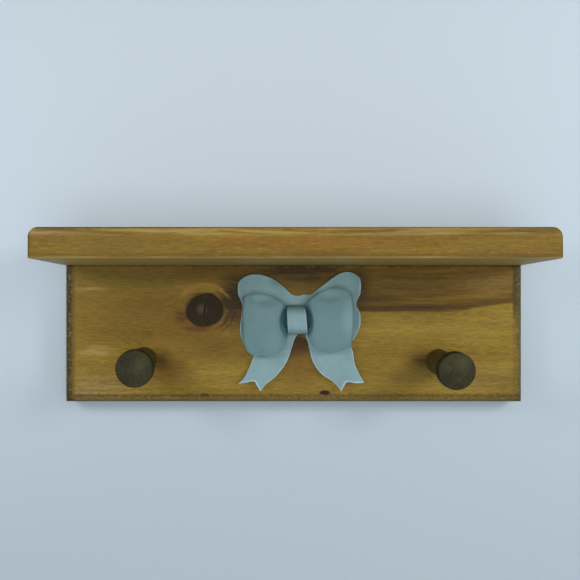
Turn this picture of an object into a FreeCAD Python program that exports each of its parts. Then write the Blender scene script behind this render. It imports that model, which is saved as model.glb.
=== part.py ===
"""Wall shelf with two pegs and a folded bow: the plank, the back board and all that they carry."""
import FreeCAD, Part
import math
import os
import Sketcher

# The row stands with its back against a wall: +X to the right, the wall behind at Y = 0, the room
# towards -Y, +Z up. The origin is the middle of the back board's rear face. Sizes are millimetres.
SIZES = {
    # the two boards; the back board stops short of the plank by the inset at each end
    "board_inset": 1.0,
    "board_height": 101.0,
    "board_thick": 20.0,
    "board_arris": 4.0,
    "shelf_length": 340.0,
    "shelf_depth": 100.0,
    "shelf_thick": 20.0,
    "shelf_end_round": 6.5,
    "shelf_front_round": 1.6,
    "shelf_low_round": 0.8,
    # the dead knot in the back board
    "knot_left": 65.8,
    "knot_above": 17.4,
    "knot_width": 27.0,
    "knot_height": 24.5,
    "knot_depth": 13.0,
    "knot_taper": 1.5,
    "knot_gap": 0.15,
    "crack_width": 1.1,
    "crack_depth": 3.0,
    "crack_lean": 3.0,
    # the pegs, placed from the plank's ends and the board's lower edge
    "peg_left_in": 61.1,
    "peg_right_in": 60.2,
    "peg_left_up": 28.5,
    "peg_right_up": 26.8,
    "peg_reach": 50.0,
    "peg_head_radius": 12.8,
    "peg_neck_radius": 11.3,
    "peg_base_radius": 12.6,
    "peg_land": 9.0,
    "peg_rim": 0.9,
    "tenon_radius": 8.0,
    "tenon_length": 14.0,
    "tenon_shoulder": 0.6,
    "socket_gap": 0.1,
    "socket_spare": 1.0,
    # the screws that hold the plank down on the back board, the outer ones placed from its ends
    "shelf_screw_in": 35.0,
    "shelf_screw_length": 40.0,
    "shelf_screw_radius": 2.0,
    "shelf_screw_head_radius": 4.0,
    "shelf_screw_head_height": 2.4,
    "shelf_screw_tip": 6.0,
    "shelf_screw_slot_width": 0.9,
    "shelf_screw_slot_depth": 1.1,
    "screw_gap": 0.1,
    # the keyhole plates sunk in the rear face, placed from the plank's ends, and their screws
    "key_in": 70.0,
    "key_above": 20.0,
    "plate_width": 16.0,
    "plate_height": 50.0,
    "plate_thick": 2.0,
    "plate_gap": 0.15,
    "key_entry_radius": 4.75,
    "key_neck_radius": 2.2,
    "key_rise": 9.0,
    "key_drop": 4.5,
    "head_pocket_width": 12.0,
    "head_pocket_height": 32.0,
    "head_pocket_depth": 6.0,
    "plate_screw_inset": 5.0,
    "plate_screw_radius": 1.5,
    "plate_screw_length": 12.0,
    "plate_screw_head_radius": 2.8,
    "plate_screw_head_height": 1.4,
    "plate_screw_tip": 3.0,
    "plate_screw_slot_width": 0.7,
    "plate_screw_slot_depth": 0.7,
    # the bow, folded from sheet and held in the middle by a band
    "bow_right": 2.1,
    "bow_above": 10.5,
    "bow_width": 92.0,
    "bow_height": 88.0,
    "sheet_thick": 1.1,
    "sheet_gap": 0.1,
    "lobe_flat_left": 33.0,
    "lobe_flat_right": 36.0,
    "lobe_curl_radius": 12.0,
    "lobe_curl_angle": 70.0,
    "loop_left_reach": 41.0,
    "loop_right_reach": 42.5,
    "loop_deep": 11.3,
    "tail_flat": 21.0,
    "tail_curl_radius": 120.0,
    "band_width": 14.6,
    "band_height": 20.8,
    "band_front": 10.3,
    "band_tuck": 5.0,
    "pin_left_out": 3.5,
    "pin_right_out": 5.8,
    "pin_radius": 0.7,
    "pin_head_radius": 1.4,
    "pin_head_thick": 0.8,
    "pin_bite": 10.0,
    "pin_gap": 0.1,
    # how far every cutting shape runs past what it cuts
    "overrun": 1.0,
}

# Outlines of the bow's sheets, seen from the front: shares of half the bow's width to the right of
# its middle, and of half its height above it. Each run is a curve through its points.
LOBE_LEFT_SHARES = (
    (0.03, 0.395), (-0.09, 0.42), (-0.22, 0.545), (-0.38, 0.67), (-0.54, 0.74), (-0.72, 0.745),
    (-0.87, 0.68), (-0.955, 0.57), (-0.96, 0.455), (-0.90, 0.33), (-0.875, 0.205), (-0.89, 0.02),
    (-0.91, -0.135), (-0.89, -0.295), (-0.84, -0.43),
)
LOBE_UNDER_SHARES = (
    (-0.84, -0.43), (-0.65, -0.42), (-0.26, -0.25), (0.0, -0.19), (0.26, -0.24), (0.61, -0.36), (0.90, -0.34),
)
LOBE_BUMP_SHARES = ((0.90, -0.34), (0.96, -0.23), (1.01, -0.11), (1.025, -0.01), (1.005, 0.115), (0.95, 0.28))
LOBE_RIGHT_SHARES = (
    (0.95, 0.28), (1.005, 0.41), (1.035, 0.555), (0.99, 0.68), (0.89, 0.775), (0.74, 0.785), (0.61, 0.72),
    (0.435, 0.585), (0.28, 0.46), (0.195, 0.41), (0.11, 0.415), (0.03, 0.395),
)
LOOP_TOP_LEFT_SHARES = (
    (-1.04, 0.27), (-0.91, 0.33), (-0.85, 0.395), (-0.74, 0.41), (-0.565, 0.43), (-0.435, 0.40),
    (-0.305, 0.32), (-0.18, 0.232),
)
LOOP_TOP_RIGHT_SHARES = (
    (0.18, 0.24), (0.28, 0.375), (0.435, 0.47), (0.585, 0.505), (0.78, 0.51), (0.89, 0.46), (0.935, 0.34),
    (1.04, 0.27),
)
LOOP_LOW_RIGHT_SHARES = (
    (1.04, -0.205), (0.935, -0.27), (0.89, -0.42), (0.78, -0.48), (0.65, -0.505), (0.545, -0.55),
    (0.40, -0.52), (0.26, -0.41), (0.18, -0.26),
)
LOOP_LOW_LEFT_SHARES = (
    (-0.175, -0.25), (-0.205, -0.43), (-0.285, -0.545), (-0.415, -0.615), (-0.585, -0.625), (-0.74, -0.615),
    (-0.835, -0.51), (-0.89, -0.305), (-1.04, -0.205),
)
TAIL_LEFT_SHARES = (
    ((-0.195, 0.135), (0.005, 0.135)),
    ((0.005, 0.135), (0.005, -0.245)),
    ((0.005, -0.245), (-0.055, -0.34), (-0.10, -0.50), (-0.14, -0.66), (-0.22, -0.795), (-0.36, -0.965),
     (-0.49, -1.075), (-0.595, -1.195)),
    ((-0.595, -1.195), (-0.64, -1.10), (-0.695, -1.03), (-0.795, -1.045), (-0.935, -1.075)),
    ((-0.935, -1.075), (-0.825, -0.93), (-0.75, -0.775), (-0.71, -0.65), (-0.61, -0.48), (-0.39, -0.23),
     (-0.23, 0.0), (-0.195, 0.135)),
)
TAIL_RIGHT_SHARES = (
    ((0.26, 0.135), (0.10, 0.135)),
    ((0.10, 0.135), (0.13, -0.245)),
    ((0.13, -0.245), (0.175, -0.375), (0.20, -0.51), (0.23, -0.65), (0.305, -0.80), (0.41, -0.95),
     (0.555, -1.03), (0.65, -1.11), (0.71, -1.195)),
    ((0.71, -1.195), (0.76, -1.11), (0.825, -1.035), (0.935, -1.05), (1.07, -1.05)),
    ((1.07, -1.05), (1.0, -0.92), (0.93, -0.76), (0.90, -0.615), (0.865, -0.455), (0.77, -0.36),
     (0.60, -0.24), (0.39, -0.07), (0.26, 0.135)),
)
# The hollow of a loop, seen from above: shares of its length from the band out to the fold, and of its
# depth from its back sheet to its front sheet. The straight way back closes it.
LOOP_HOLLOW_SHARES = (
    (0.0, 0.0), (0.045, 0.35), (0.11, 0.74), (0.21, 0.94), (0.40, 1.0), (0.62, 0.97), (0.80, 0.84),
    (0.94, 0.58), (1.0, 0.30), (0.96, 0.08), (0.87, 0.0),
)
# The knot's outline: shares of half its width and half its height, corner to corner.
KNOT_SHARES = (
    (0.33, 1.0), (-0.22, 0.92), (-0.70, 0.60), (-0.98, 0.08), (-0.98, -0.38), (-0.70, -0.74), (-0.30, -0.95),
    (0.18, -0.95), (0.60, -0.78), (0.90, -0.46), (1.0, 0.08), (0.90, 0.48), (0.60, 0.82),
)

# How a sketch numbers its axes, and the points of a line or arc
HORIZONTAL_INDEX = -1
VERTICAL_INDEX = -2
START_INDEX = 1
END_INDEX = 2
CENTRE_INDEX = 3
HALF = 0.5
# The share of a screw's radius that is left at its point
POINT_SHARE = 0.2

doc = FreeCAD.newDocument("peg_shelf")
sizes = doc.addObject("Spreadsheet::Sheet", "sizes")
for row, (alias, value) in enumerate(SIZES.items(), start=1):
    sizes.set(f"A{row}", alias.replace("_", " "))
    sizes.set(f"B{row}", str(value))
    sizes.setAlias(f"B{row}", alias)
doc.recompute()


def number(expression):
    """The value of an expression in the sheet's sizes."""
    value = sizes.evalExpression(expression)
    return float(getattr(value, "Value", value))


def size(alias):
    """One size from the sheet."""
    return number(f"sizes.{alias}")


def place(item, x="0", y="0", z="0"):
    """Binds an object's place to the sheet."""
    for axis, expression in (("x", x), ("y", y), ("z", z)):
        if expression != "0":
            item.setExpression(f"Placement.Base.{axis}", expression)


def new_body(label):
    """An empty body for one sub-part."""
    body = doc.addObject("PartDesign::Body", label)
    body.Label = label
    return body


def new_sketch(body, name, role, x="0", y="0", lift="0"):
    """A sketch on one of the body's own planes, moved within it by x and y, and off it by lift."""
    sketch = body.newObject("Sketcher::SketchObject", name)
    plane = next(feature for feature in body.Origin.OriginFeatures if feature.Role == role)
    sketch.AttachmentSupport = [(plane, "")]
    sketch.MapMode = "FlatFace"
    for axis, expression in (("x", x), ("y", y), ("z", lift)):
        if expression != "0":
            sketch.setExpression(f"AttachmentOffset.Base.{axis}", expression)
    return sketch


def bind_point(sketch, geometry, end, point):
    """Ties one end of a line or arc to a place given by two expressions."""
    rules = (("DistanceX", VERTICAL_INDEX, point[0]), ("DistanceY", HORIZONTAL_INDEX, point[1]))
    for kind, axis, expression in rules:
        if expression == "0":
            sketch.addConstraint(Sketcher.Constraint("PointOnObject", geometry, end, axis))
            continue
        rule = Sketcher.Constraint(kind, HORIZONTAL_INDEX, START_INDEX, geometry, end, number(expression))
        index = sketch.addConstraint(rule)
        sketch.setExpression(f"Constraints[{index}]", expression)


def flat_arc(start, middle, finish):
    """An anticlockwise arc through three points, and whether it begins at the first of them."""
    centre = Part.Arc(start, middle, finish).toShape().Curve.Center
    forward = (middle - start).cross(finish - middle).z > 0
    first, last = (start, finish) if forward else (finish, start)
    turns = [math.atan2(point.y - centre.y, point.x - centre.x) for point in (first, last)]
    if turns[1] < turns[0]:
        turns[1] += 2 * math.pi
    round_line = Part.Circle(centre, FreeCAD.Vector(0, 0, 1), start.distanceToPoint(centre))
    return Part.ArcOfCircle(round_line, *turns), forward


def profile(sketch, corners, through=None):
    """A closed outline through the corners; through maps a corner to the middle of an arc that leaves it."""
    through = through or {}
    spots = [FreeCAD.Vector(number(x), number(y), 0) for x, y in corners]
    ends = []
    for index, start in enumerate(spots):
        finish = spots[(index + 1) % len(spots)]
        if index in through:
            middle = FreeCAD.Vector(*(number(expression) for expression in through[index]), 0)
            arc, forward = flat_arc(start, middle, finish)
            geometry = sketch.addGeometry(arc, False)
            ends.append((geometry, START_INDEX, END_INDEX) if forward else (geometry, END_INDEX, START_INDEX))
        else:
            geometry = sketch.addGeometry(Part.LineSegment(start, finish), False)
            ends.append((geometry, START_INDEX, END_INDEX))
    for index, (geometry, first, last) in enumerate(ends):
        after, after_first, _ = ends[(index + 1) % len(ends)]
        sketch.addConstraint(Sketcher.Constraint("Coincident", geometry, last, after, after_first))
    for (geometry, first, _), corner in zip(ends, corners):
        bind_point(sketch, geometry, first, corner)
    for index, middle in through.items():
        spot = FreeCAD.Vector(*(number(expression) for expression in middle), 0)
        marker = sketch.addGeometry(Part.Point(spot), True)
        sketch.addConstraint(Sketcher.Constraint("PointOnObject", marker, START_INDEX, ends[index][0]))
        bind_point(sketch, marker, START_INDEX, middle)


def rectangle(sketch, width, height):
    """A rectangle with its middle on the sketch's origin."""
    left, right = f"-({width}) / 2", f"({width}) / 2"
    low, high = f"-({height}) / 2", f"({height}) / 2"
    profile(sketch, ((left, low), (right, low), (right, high), (left, high)))


def circle(sketch, radius):
    """A circle round the sketch's origin."""
    centre = FreeCAD.Vector(0, 0, 0)
    geometry = sketch.addGeometry(Part.Circle(centre, FreeCAD.Vector(0, 0, 1), number(radius)), False)
    middle = (HORIZONTAL_INDEX, START_INDEX)
    sketch.addConstraint(Sketcher.Constraint("Coincident", geometry, CENTRE_INDEX, *middle))
    index = sketch.addConstraint(Sketcher.Constraint("Radius", geometry, number(radius)))
    sketch.setExpression(f"Constraints[{index}]", radius)


def pad(body, sketch, length, midplane=False):
    """A pad of a sketch, to one side of it or to both."""
    feature = body.newObject("PartDesign::Pad", f"{sketch.Name}_pad")
    feature.Profile = sketch
    feature.Midplane = midplane
    feature.setExpression("Length", length)
    doc.recompute()
    return feature


def pocket(body, sketch, length, forward=False):
    """A pocket against the sketch's normal, or along it if forward."""
    before = body.Shape.Volume
    feature = body.newObject("PartDesign::Pocket", f"{sketch.Name}_pocket")
    feature.Profile = sketch
    feature.Reversed = forward
    feature.setExpression("Length", length)
    doc.recompute()
    if body.Shape.Volume >= before:
        raise RuntimeError(f"{feature.Name} cuts nothing")
    return feature


def round_edges(body, name, radius, wanted):
    """A fillet on the edges of the body that wanted picks."""
    edges = [f"Edge{index}" for index, edge in enumerate(body.Shape.Edges, start=1) if wanted(edge)]
    base = body.Tip
    feature = body.newObject("PartDesign::Fillet", name)
    feature.Base = (base, edges)
    feature.setExpression("Radius", radius)
    doc.recompute()


def revolve(body, sketch):
    """A full turn of a sketch round its own vertical axis."""
    feature = body.newObject("PartDesign::Revolution", f"{sketch.Name}_turned")
    feature.Profile = sketch
    feature.ReferenceAxis = (sketch, ["V_Axis"])
    feature.Angle = 360.0
    doc.recompute()


def middle_is(edge, axis, value):
    """Whether an edge's middle lies at a value on an axis."""
    return abs(getattr(edge.CenterOfMass, axis) - value) < size("sheet_gap")


def runs_along(edge, axis):
    """Whether a straight edge runs along an axis."""
    start, finish = edge.Vertexes[0].Point, edge.Vertexes[-1].Point
    others = [other for other in "xyz" if other != axis]
    return all(abs(getattr(start, other) - getattr(finish, other)) < size("sheet_gap") for other in others)


# Lengths and places that several pieces share
BOARD_LENGTH = "sizes.shelf_length - 2 * sizes.board_inset"
SHELF_END = "sizes.shelf_length / 2"
BOARD_TOP = "sizes.board_height / 2"
BOARD_FRONT = "-sizes.board_thick"
BOARD_BOTTOM = "-sizes.board_height / 2"
PEG_PLACES = {
    "peg_left": (f"-({SHELF_END} - sizes.peg_left_in)", f"{BOARD_BOTTOM} + sizes.peg_left_up"),
    "peg_right": (f"{SHELF_END} - sizes.peg_right_in", f"{BOARD_BOTTOM} + sizes.peg_right_up"),
}
PLATE_PLACES = {
    "keyhole_plate_left": f"-({SHELF_END} - sizes.key_in)",
    "keyhole_plate_right": f"{SHELF_END} - sizes.key_in",
}
SHELF_SCREW_PLACES = (
    f"-({SHELF_END} - sizes.shelf_screw_in)",
    "0",
    f"{SHELF_END} - sizes.shelf_screw_in",
)
PLATE_SCREW_RISE = "(sizes.plate_height / 2 - sizes.plate_screw_inset)"
PIN_PLACES = ("sizes.bow_right - sizes.pin_left_out", "sizes.bow_right + sizes.pin_right_out")
SOCKET_RADIUS = "sizes.tenon_radius + sizes.socket_gap"
SOCKET_DEPTH = "sizes.tenon_length + sizes.socket_spare"


def share_points(shares, wide, high, x=0.0, z=0.0):
    """Points in the front view from shares of two half sizes."""
    return [FreeCAD.Vector(x + across * wide, 0, z + up * high) for across, up in shares]


def curve_edge(points):
    """A straight edge through two points, or a smooth one through more."""
    if len(points) == 2:
        return Part.LineSegment(*points).toShape()
    curve = Part.BSplineCurve()
    curve.interpolate(points)
    return curve.toShape()


def front_prism(edges, near, far):
    """The solid that a closed outline sweeps between two distances in front of the wall."""
    wire = Part.Wire(Part.__sortEdges__(edges))
    wire.translate(FreeCAD.Vector(0, -near, 0))
    return Part.Face(wire).extrude(FreeCAD.Vector(0, near - far, 0))


def polygon_face(points):
    """A flat face through its corners."""
    return Part.Face(Part.makePolygon(points + points[:1]))


def knot_solid(grow, deep, floor_grow):
    """The knot's tapered plug, grown all round by grow at the face and by floor_grow at its floor."""
    half_width, half_height = size("knot_width") * HALF, size("knot_height") * HALF
    across, up = -size("knot_left"), size("knot_above")
    rings = []
    for distance, growth in ((0.0, grow), (deep, floor_grow)):
        points = share_points(KNOT_SHARES, half_width + growth, half_height + growth, across, up)
        curve = Part.BSplineCurve()
        curve.interpolate(points, PeriodicFlag=True)
        ring = Part.Wire(curve.toShape())
        ring.translate(FreeCAD.Vector(0, distance - size("board_thick"), 0))
        rings.append(ring)
    return Part.makeLoft(rings, True, True)


def add_feature(label, shape):
    """A sub-part whose shape is set by code."""
    feature = doc.addObject("Part::Feature", label)
    feature.Label = label
    feature.Shape = shape
    feature.Placement = FreeCAD.Placement()
    return feature


def build_back_board():
    """The back board: rounded front arris, sockets, recesses and pilot holes."""
    body = new_body("back_board_blank")
    blank = new_sketch(body, "board_outline", "XZ_Plane")
    rectangle(blank, BOARD_LENGTH, "sizes.board_height")
    pad(body, blank, "sizes.board_thick")
    front, top = -size("board_thick"), size("board_height") * HALF
    round_edges(body, "board_front_arris", "sizes.board_arris",
                lambda edge: middle_is(edge, "y", front) and not middle_is(edge, "z", top))
    for name, (x, z) in PEG_PLACES.items():
        socket = new_sketch(body, f"{name}_socket", "XZ_Plane", x, z, "sizes.board_thick")
        circle(socket, SOCKET_RADIUS)
        pocket(body, socket, SOCKET_DEPTH)
    for name, x in PLATE_PLACES.items():
        seat = new_sketch(body, f"{name}_seat", "XZ_Plane", x, "sizes.key_above")
        rectangle(seat, "sizes.plate_width + 2 * sizes.plate_gap", "sizes.plate_height + 2 * sizes.plate_gap")
        pocket(body, seat, "sizes.plate_thick", True)
        hollow = new_sketch(body, f"{name}_hollow", "XZ_Plane", x, "sizes.key_above")
        rectangle(hollow, "sizes.head_pocket_width", "sizes.head_pocket_height")
        pocket(body, hollow, "sizes.plate_thick + sizes.head_pocket_depth", True)
        for end, sign in (("top", "+"), ("low", "-")):
            rise = f"sizes.key_above {sign} {PLATE_SCREW_RISE}"
            pilot = new_sketch(body, f"{name}_{end}_pilot", "XZ_Plane", x, rise)
            circle(pilot, "sizes.plate_screw_radius + sizes.screw_gap")
            pocket(body, pilot, "sizes.plate_screw_length + sizes.screw_gap", True)
    for index, x in enumerate(SHELF_SCREW_PLACES):
        pilot = new_sketch(body, f"shelf_screw_{index}_pilot", "XY_Plane", x, f"{BOARD_FRONT} / 2", BOARD_TOP)
        circle(pilot, "sizes.shelf_screw_radius + sizes.screw_gap")
        pocket(body, pilot, "sizes.shelf_screw_length - sizes.shelf_thick + sizes.screw_gap")
    for index, x in enumerate(PIN_PLACES):
        pilot = new_sketch(body, f"bow_pin_{index}_pilot", "XZ_Plane", x, "sizes.bow_above",
                           "sizes.board_thick")
        circle(pilot, "sizes.pin_radius + sizes.pin_gap")
        pocket(body, pilot, "sizes.pin_bite + sizes.pin_gap")
    floor_grow = size("knot_gap") - size("knot_taper")
    hole = add_feature("knot_hole", knot_solid(size("knot_gap"), size("knot_depth"), floor_grow))
    cut = doc.addObject("Part::Cut", "back_board")
    cut.Base = body
    cut.Tool = hole
    cut.Label = "back_board"
    return cut


def build_knot():
    """The dead knot: a tapered plug flush with the board's face, split by one crack."""
    plug = knot_solid(0.0, size("knot_depth"), -size("knot_taper"))
    half_height = size("knot_height") * HALF + size("overrun")
    x, z, wide = -size("knot_left"), size("knot_above"), size("crack_width") * HALF
    lean = size("crack_lean") * HALF
    front = -size("board_thick")
    corners = [
        FreeCAD.Vector(x + lean, front - size("overrun"), z + half_height),
        FreeCAD.Vector(x + wide, front - size("overrun"), z),
        FreeCAD.Vector(x - lean, front - size("overrun"), z - half_height),
        FreeCAD.Vector(x - wide, front - size("overrun"), z),
    ]
    wedge = polygon_face(corners).extrude(FreeCAD.Vector(0, size("overrun") + size("crack_depth"), 0))
    return add_feature("knot", plug.cut(wedge))


def build_shelf():
    """The plank on top, with its rounded ends and the countersunk screw holes."""
    body = new_body("shelf_board")
    outline = new_sketch(body, "shelf_outline", "XY_Plane", "0", "-sizes.shelf_depth / 2")
    rectangle(outline, "sizes.shelf_length", "sizes.shelf_depth")
    pad(body, outline, "sizes.shelf_thick")
    end, front = size("shelf_length") * HALF, -size("shelf_depth")
    top = size("shelf_thick")
    round_edges(body, "shelf_end_rounds", "sizes.shelf_end_round",
                lambda edge: runs_along(edge, "y") and middle_is(edge, "z", top))
    round_edges(body, "shelf_front_rounds", "sizes.shelf_front_round",
                lambda edge: middle_is(edge, "y", front) and edge.BoundBox.ZMax > top * HALF
                and abs(edge.CenterOfMass.x) < end and not runs_along(edge, "z"))
    round_edges(body, "shelf_low_rounds", "sizes.shelf_low_round",
                lambda edge: runs_along(edge, "x") and middle_is(edge, "z", 0)
                and edge.CenterOfMass.y < front * HALF)
    for index, x in enumerate(SHELF_SCREW_PLACES):
        hole = new_sketch(body, f"shelf_screw_{index}_hole", "XY_Plane", x, f"{BOARD_FRONT} / 2",
                          "sizes.shelf_thick")
        circle(hole, "sizes.shelf_screw_radius + sizes.screw_gap")
        pocket(body, hole, "sizes.shelf_thick + sizes.overrun")
        sink = new_sketch(body, f"shelf_screw_{index}_sink", "XZ_Plane", x, "0", "sizes.board_thick / 2")
        head = "sizes.shelf_screw_head_radius + sizes.screw_gap"
        shank = "sizes.shelf_screw_radius + sizes.screw_gap"
        seat = "sizes.shelf_thick - sizes.shelf_screw_head_height"
        profile(sink, (("0", seat), (shank, seat), (head, "sizes.shelf_thick"), ("0", "sizes.shelf_thick")))
        groove = body.newObject("PartDesign::Groove", f"shelf_screw_{index}_countersink")
        groove.Profile = sink
        groove.ReferenceAxis = (sink, ["V_Axis"])
        groove.Angle = 360.0
        doc.recompute()
    place(body, z=BOARD_TOP)
    return body


def build_peg(label, x, z):
    """A turned peg: waisted shank, straight head with a soft rim, and a tenon glued in its socket."""
    body = new_body(label)
    sketch = new_sketch(body, f"{label}_profile", "XY_Plane")
    rim = "sizes.peg_rim"
    root_half = f"{1 - math.sqrt(HALF):.4f}"
    corners = (
        ("0", "sizes.tenon_length"),
        ("sizes.tenon_radius - sizes.tenon_shoulder", "sizes.tenon_length"),
        ("sizes.tenon_radius", "sizes.tenon_length - sizes.tenon_shoulder"),
        ("sizes.tenon_radius", "0"),
        ("sizes.peg_base_radius", "0"),
        ("sizes.peg_head_radius", "-(sizes.peg_reach - sizes.peg_land)"),
        ("sizes.peg_head_radius", f"-(sizes.peg_reach - {rim})"),
        (f"sizes.peg_head_radius - {rim}", "-sizes.peg_reach"),
        ("0", "-sizes.peg_reach"),
    )
    through = {
        4: ("sizes.peg_neck_radius", "-(sizes.peg_reach - sizes.peg_land) / 2"),
        6: (f"sizes.peg_head_radius - {rim} * {root_half}", f"-(sizes.peg_reach - {rim} * {root_half})"),
    }
    profile(sketch, corners, through)
    revolve(body, sketch)
    place(body, x, BOARD_FRONT, z)
    return body


def build_screw(name, prefix, x, y, z, down):
    """One countersunk wood screw with a straight slot, built along its own axis and turned to its hole."""
    radius, length = f"sizes.{prefix}_radius", f"sizes.{prefix}_length"
    head_radius, head_height = f"sizes.{prefix}_head_radius", f"sizes.{prefix}_head_height"
    tip = f"sizes.{prefix}_tip"
    turn = FreeCAD.Rotation() if down else FreeCAD.Rotation(FreeCAD.Vector(1, 0, 0), -90)
    head = doc.addObject("Part::Cone", f"{name}_head")
    head.setExpression("Radius1", radius)
    head.setExpression("Radius2", head_radius)
    head.setExpression("Height", head_height)
    head.setExpression("Placement.Base.z", f"-{head_height}")
    shank = doc.addObject("Part::Cylinder", f"{name}_shank")
    shank.setExpression("Radius", radius)
    shank.setExpression("Height", f"{length} - {head_height} - {tip}")
    shank.setExpression("Placement.Base.z", f"-({length} - {tip})")
    point = doc.addObject("Part::Cone", f"{name}_point")
    point.setExpression("Radius1", f"{radius} * {POINT_SHARE}")
    point.setExpression("Radius2", radius)
    point.setExpression("Height", tip)
    point.setExpression("Placement.Base.z", f"-{length}")
    screw = doc.addObject("Part::MultiFuse", f"{name}_whole")
    screw.Shapes = [head, shank, point]
    slot = doc.addObject("Part::Box", f"{name}_slot")
    slot.setExpression("Length", f"2 * {head_radius} + 2 * sizes.overrun")
    slot.setExpression("Width", f"sizes.{prefix}_slot_width")
    slot.setExpression("Height", f"sizes.{prefix}_slot_depth + sizes.overrun")
    slot.setExpression("Placement.Base.x", f"-{head_radius} - sizes.overrun")
    slot.setExpression("Placement.Base.y", f"-sizes.{prefix}_slot_width / 2")
    slot.setExpression("Placement.Base.z", f"-sizes.{prefix}_slot_depth")
    slotted = doc.addObject("Part::Cut", name)
    slotted.Base = screw
    slotted.Tool = slot
    slotted.Placement = FreeCAD.Placement(FreeCAD.Vector(), turn)
    place(slotted, x, y, z)
    return slotted


def build_group(label, members):
    """Separate solids that share one node."""
    group = doc.addObject("Part::Compound", label)
    group.Label = label
    group.Links = members
    return group


def build_shelf_screws():
    """The screws through the plank into the top edge of the back board."""
    screws = []
    for index, x in enumerate(SHELF_SCREW_PLACES):
        top = f"{BOARD_TOP} + sizes.shelf_thick"
        screws.append(build_screw(f"shelf_screw_{index}", "shelf_screw", x, f"{BOARD_FRONT} / 2", top, True))
    return build_group("shelf_screws", screws)


def build_plate(label, x):
    """A keyhole plate, flush with the rear face: round entry below, narrow neck above."""
    body = new_body(label)
    outline = new_sketch(body, f"{label}_outline", "XZ_Plane")
    rectangle(outline, "sizes.plate_width", "sizes.plate_height")
    pad(body, outline, "sizes.plate_thick")
    entry = new_sketch(body, f"{label}_entry", "XZ_Plane", "0", "-sizes.key_drop")
    circle(entry, "sizes.key_entry_radius")
    pocket(body, entry, "sizes.plate_thick + sizes.overrun", True)
    neck = new_sketch(body, f"{label}_neck", "XZ_Plane", "0", "-sizes.key_drop")
    side = "sizes.key_neck_radius"
    corners = ((f"-{side}", "0"), (side, "0"), (side, "sizes.key_rise"), (f"-{side}", "sizes.key_rise"))
    profile(neck, corners, {2: ("0", f"sizes.key_rise + {side}")})
    pocket(body, neck, "sizes.plate_thick + sizes.overrun", True)
    for end, sign in (("top", ""), ("low", "-")):
        hole = new_sketch(body, f"{label}_{end}_sink", "XY_Plane", "0", "0", f"{sign}{PLATE_SCREW_RISE}")
        shank = "sizes.plate_screw_radius + sizes.screw_gap"
        head = "sizes.plate_screw_head_radius + sizes.screw_gap"
        deep = "-sizes.plate_screw_head_height"
        through = "-(sizes.plate_thick + sizes.overrun)"
        profile(hole, (("0", "0"), (head, "0"), (shank, deep), (shank, through), ("0", through)))
        groove = body.newObject("PartDesign::Groove", f"{label}_{end}_countersink")
        groove.Profile = hole
        groove.ReferenceAxis = (hole, ["V_Axis"])
        groove.Angle = 360.0
        doc.recompute()
    place(body, x, "0", "sizes.key_above")
    return body


def build_plate_screws():
    """The small screws that hold both keyhole plates."""
    screws = []
    for name, x in PLATE_PLACES.items():
        for end, sign in (("top", "+"), ("low", "-")):
            rise = f"sizes.key_above {sign} {PLATE_SCREW_RISE}"
            screws.append(build_screw(f"{name}_{end}_screw", "plate_screw", x, "0", rise, False))
    return build_group("keyhole_screws", screws)


# Distances of the bow's layers in front of the wall
def bow_layers():
    """Each layer's rear face: the back sheet, the tails, the band's tucks and the loops."""
    step = size("sheet_thick") + size("sheet_gap")
    back = size("board_thick") + size("sheet_gap")
    return {"back": back, "tail": back + step, "tuck": back + 2 * step, "loop": back + 3 * step}


def bow_outline(runs):
    """Edges of a sheet's outline from runs of shares."""
    half_width, half_height = size("bow_width") * HALF, size("bow_height") * HALF
    middle = (size("bow_right"), size("bow_above"))
    return [curve_edge(share_points(run, half_width, half_height, *middle)) for run in runs]


def pin_holes(shape):
    """A sheet with the pins' holes drilled through it."""
    reach = size("bow_width")
    for x in PIN_PLACES:
        start = FreeCAD.Vector(number(x), HALF * -reach, size("bow_above"))
        radius = size("pin_radius") + size("pin_gap")
        shape = shape.cut(Part.makeCylinder(radius, reach, start, FreeCAD.Vector(0, 1, 0)))
    return shape


def build_bow_back():
    """The back sheet: two rounded lobes whose ends curl forward round the loops."""
    rear, thick = bow_layers()["back"], size("sheet_thick")
    radius, angle = size("lobe_curl_radius"), math.radians(size("lobe_curl_angle"))
    middle = size("bow_right")
    low, high = -size("bow_height"), size("bow_height")

    def curl_point(side, flat, distance, turn):
        across = middle + side * (flat + distance * math.sin(turn))
        return FreeCAD.Vector(across, -(rear + thick + radius - distance * math.cos(turn)), low)

    edges = []
    rims = {}
    for side, flat in ((-1, size("lobe_flat_left")), (1, size("lobe_flat_right"))):
        for name, distance in (("front", radius), ("rear", radius + thick)):
            turns = (0.0, angle * HALF, angle)
            start, bend, finish = (curl_point(side, flat, distance, turn) for turn in turns)
            edges.append(Part.Arc(start, bend, finish).toShape())
            rims[side, name] = (start, finish)
        edges.append(Part.LineSegment(rims[side, "front"][1], rims[side, "rear"][1]).toShape())
    for name in ("front", "rear"):
        edges.append(Part.LineSegment(rims[-1, name][0], rims[1, name][0]).toShape())
    sheet = Part.Face(Part.Wire(Part.__sortEdges__(edges))).extrude(FreeCAD.Vector(0, 0, high - low))
    outline = bow_outline((LOBE_LEFT_SHARES, LOBE_UNDER_SHARES, LOBE_BUMP_SHARES, LOBE_RIGHT_SHARES))
    prism = front_prism(outline, rear - size("overrun"), rear + size("bow_width"))
    return add_feature("bow_back", pin_holes(sheet.common(prism)))


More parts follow.
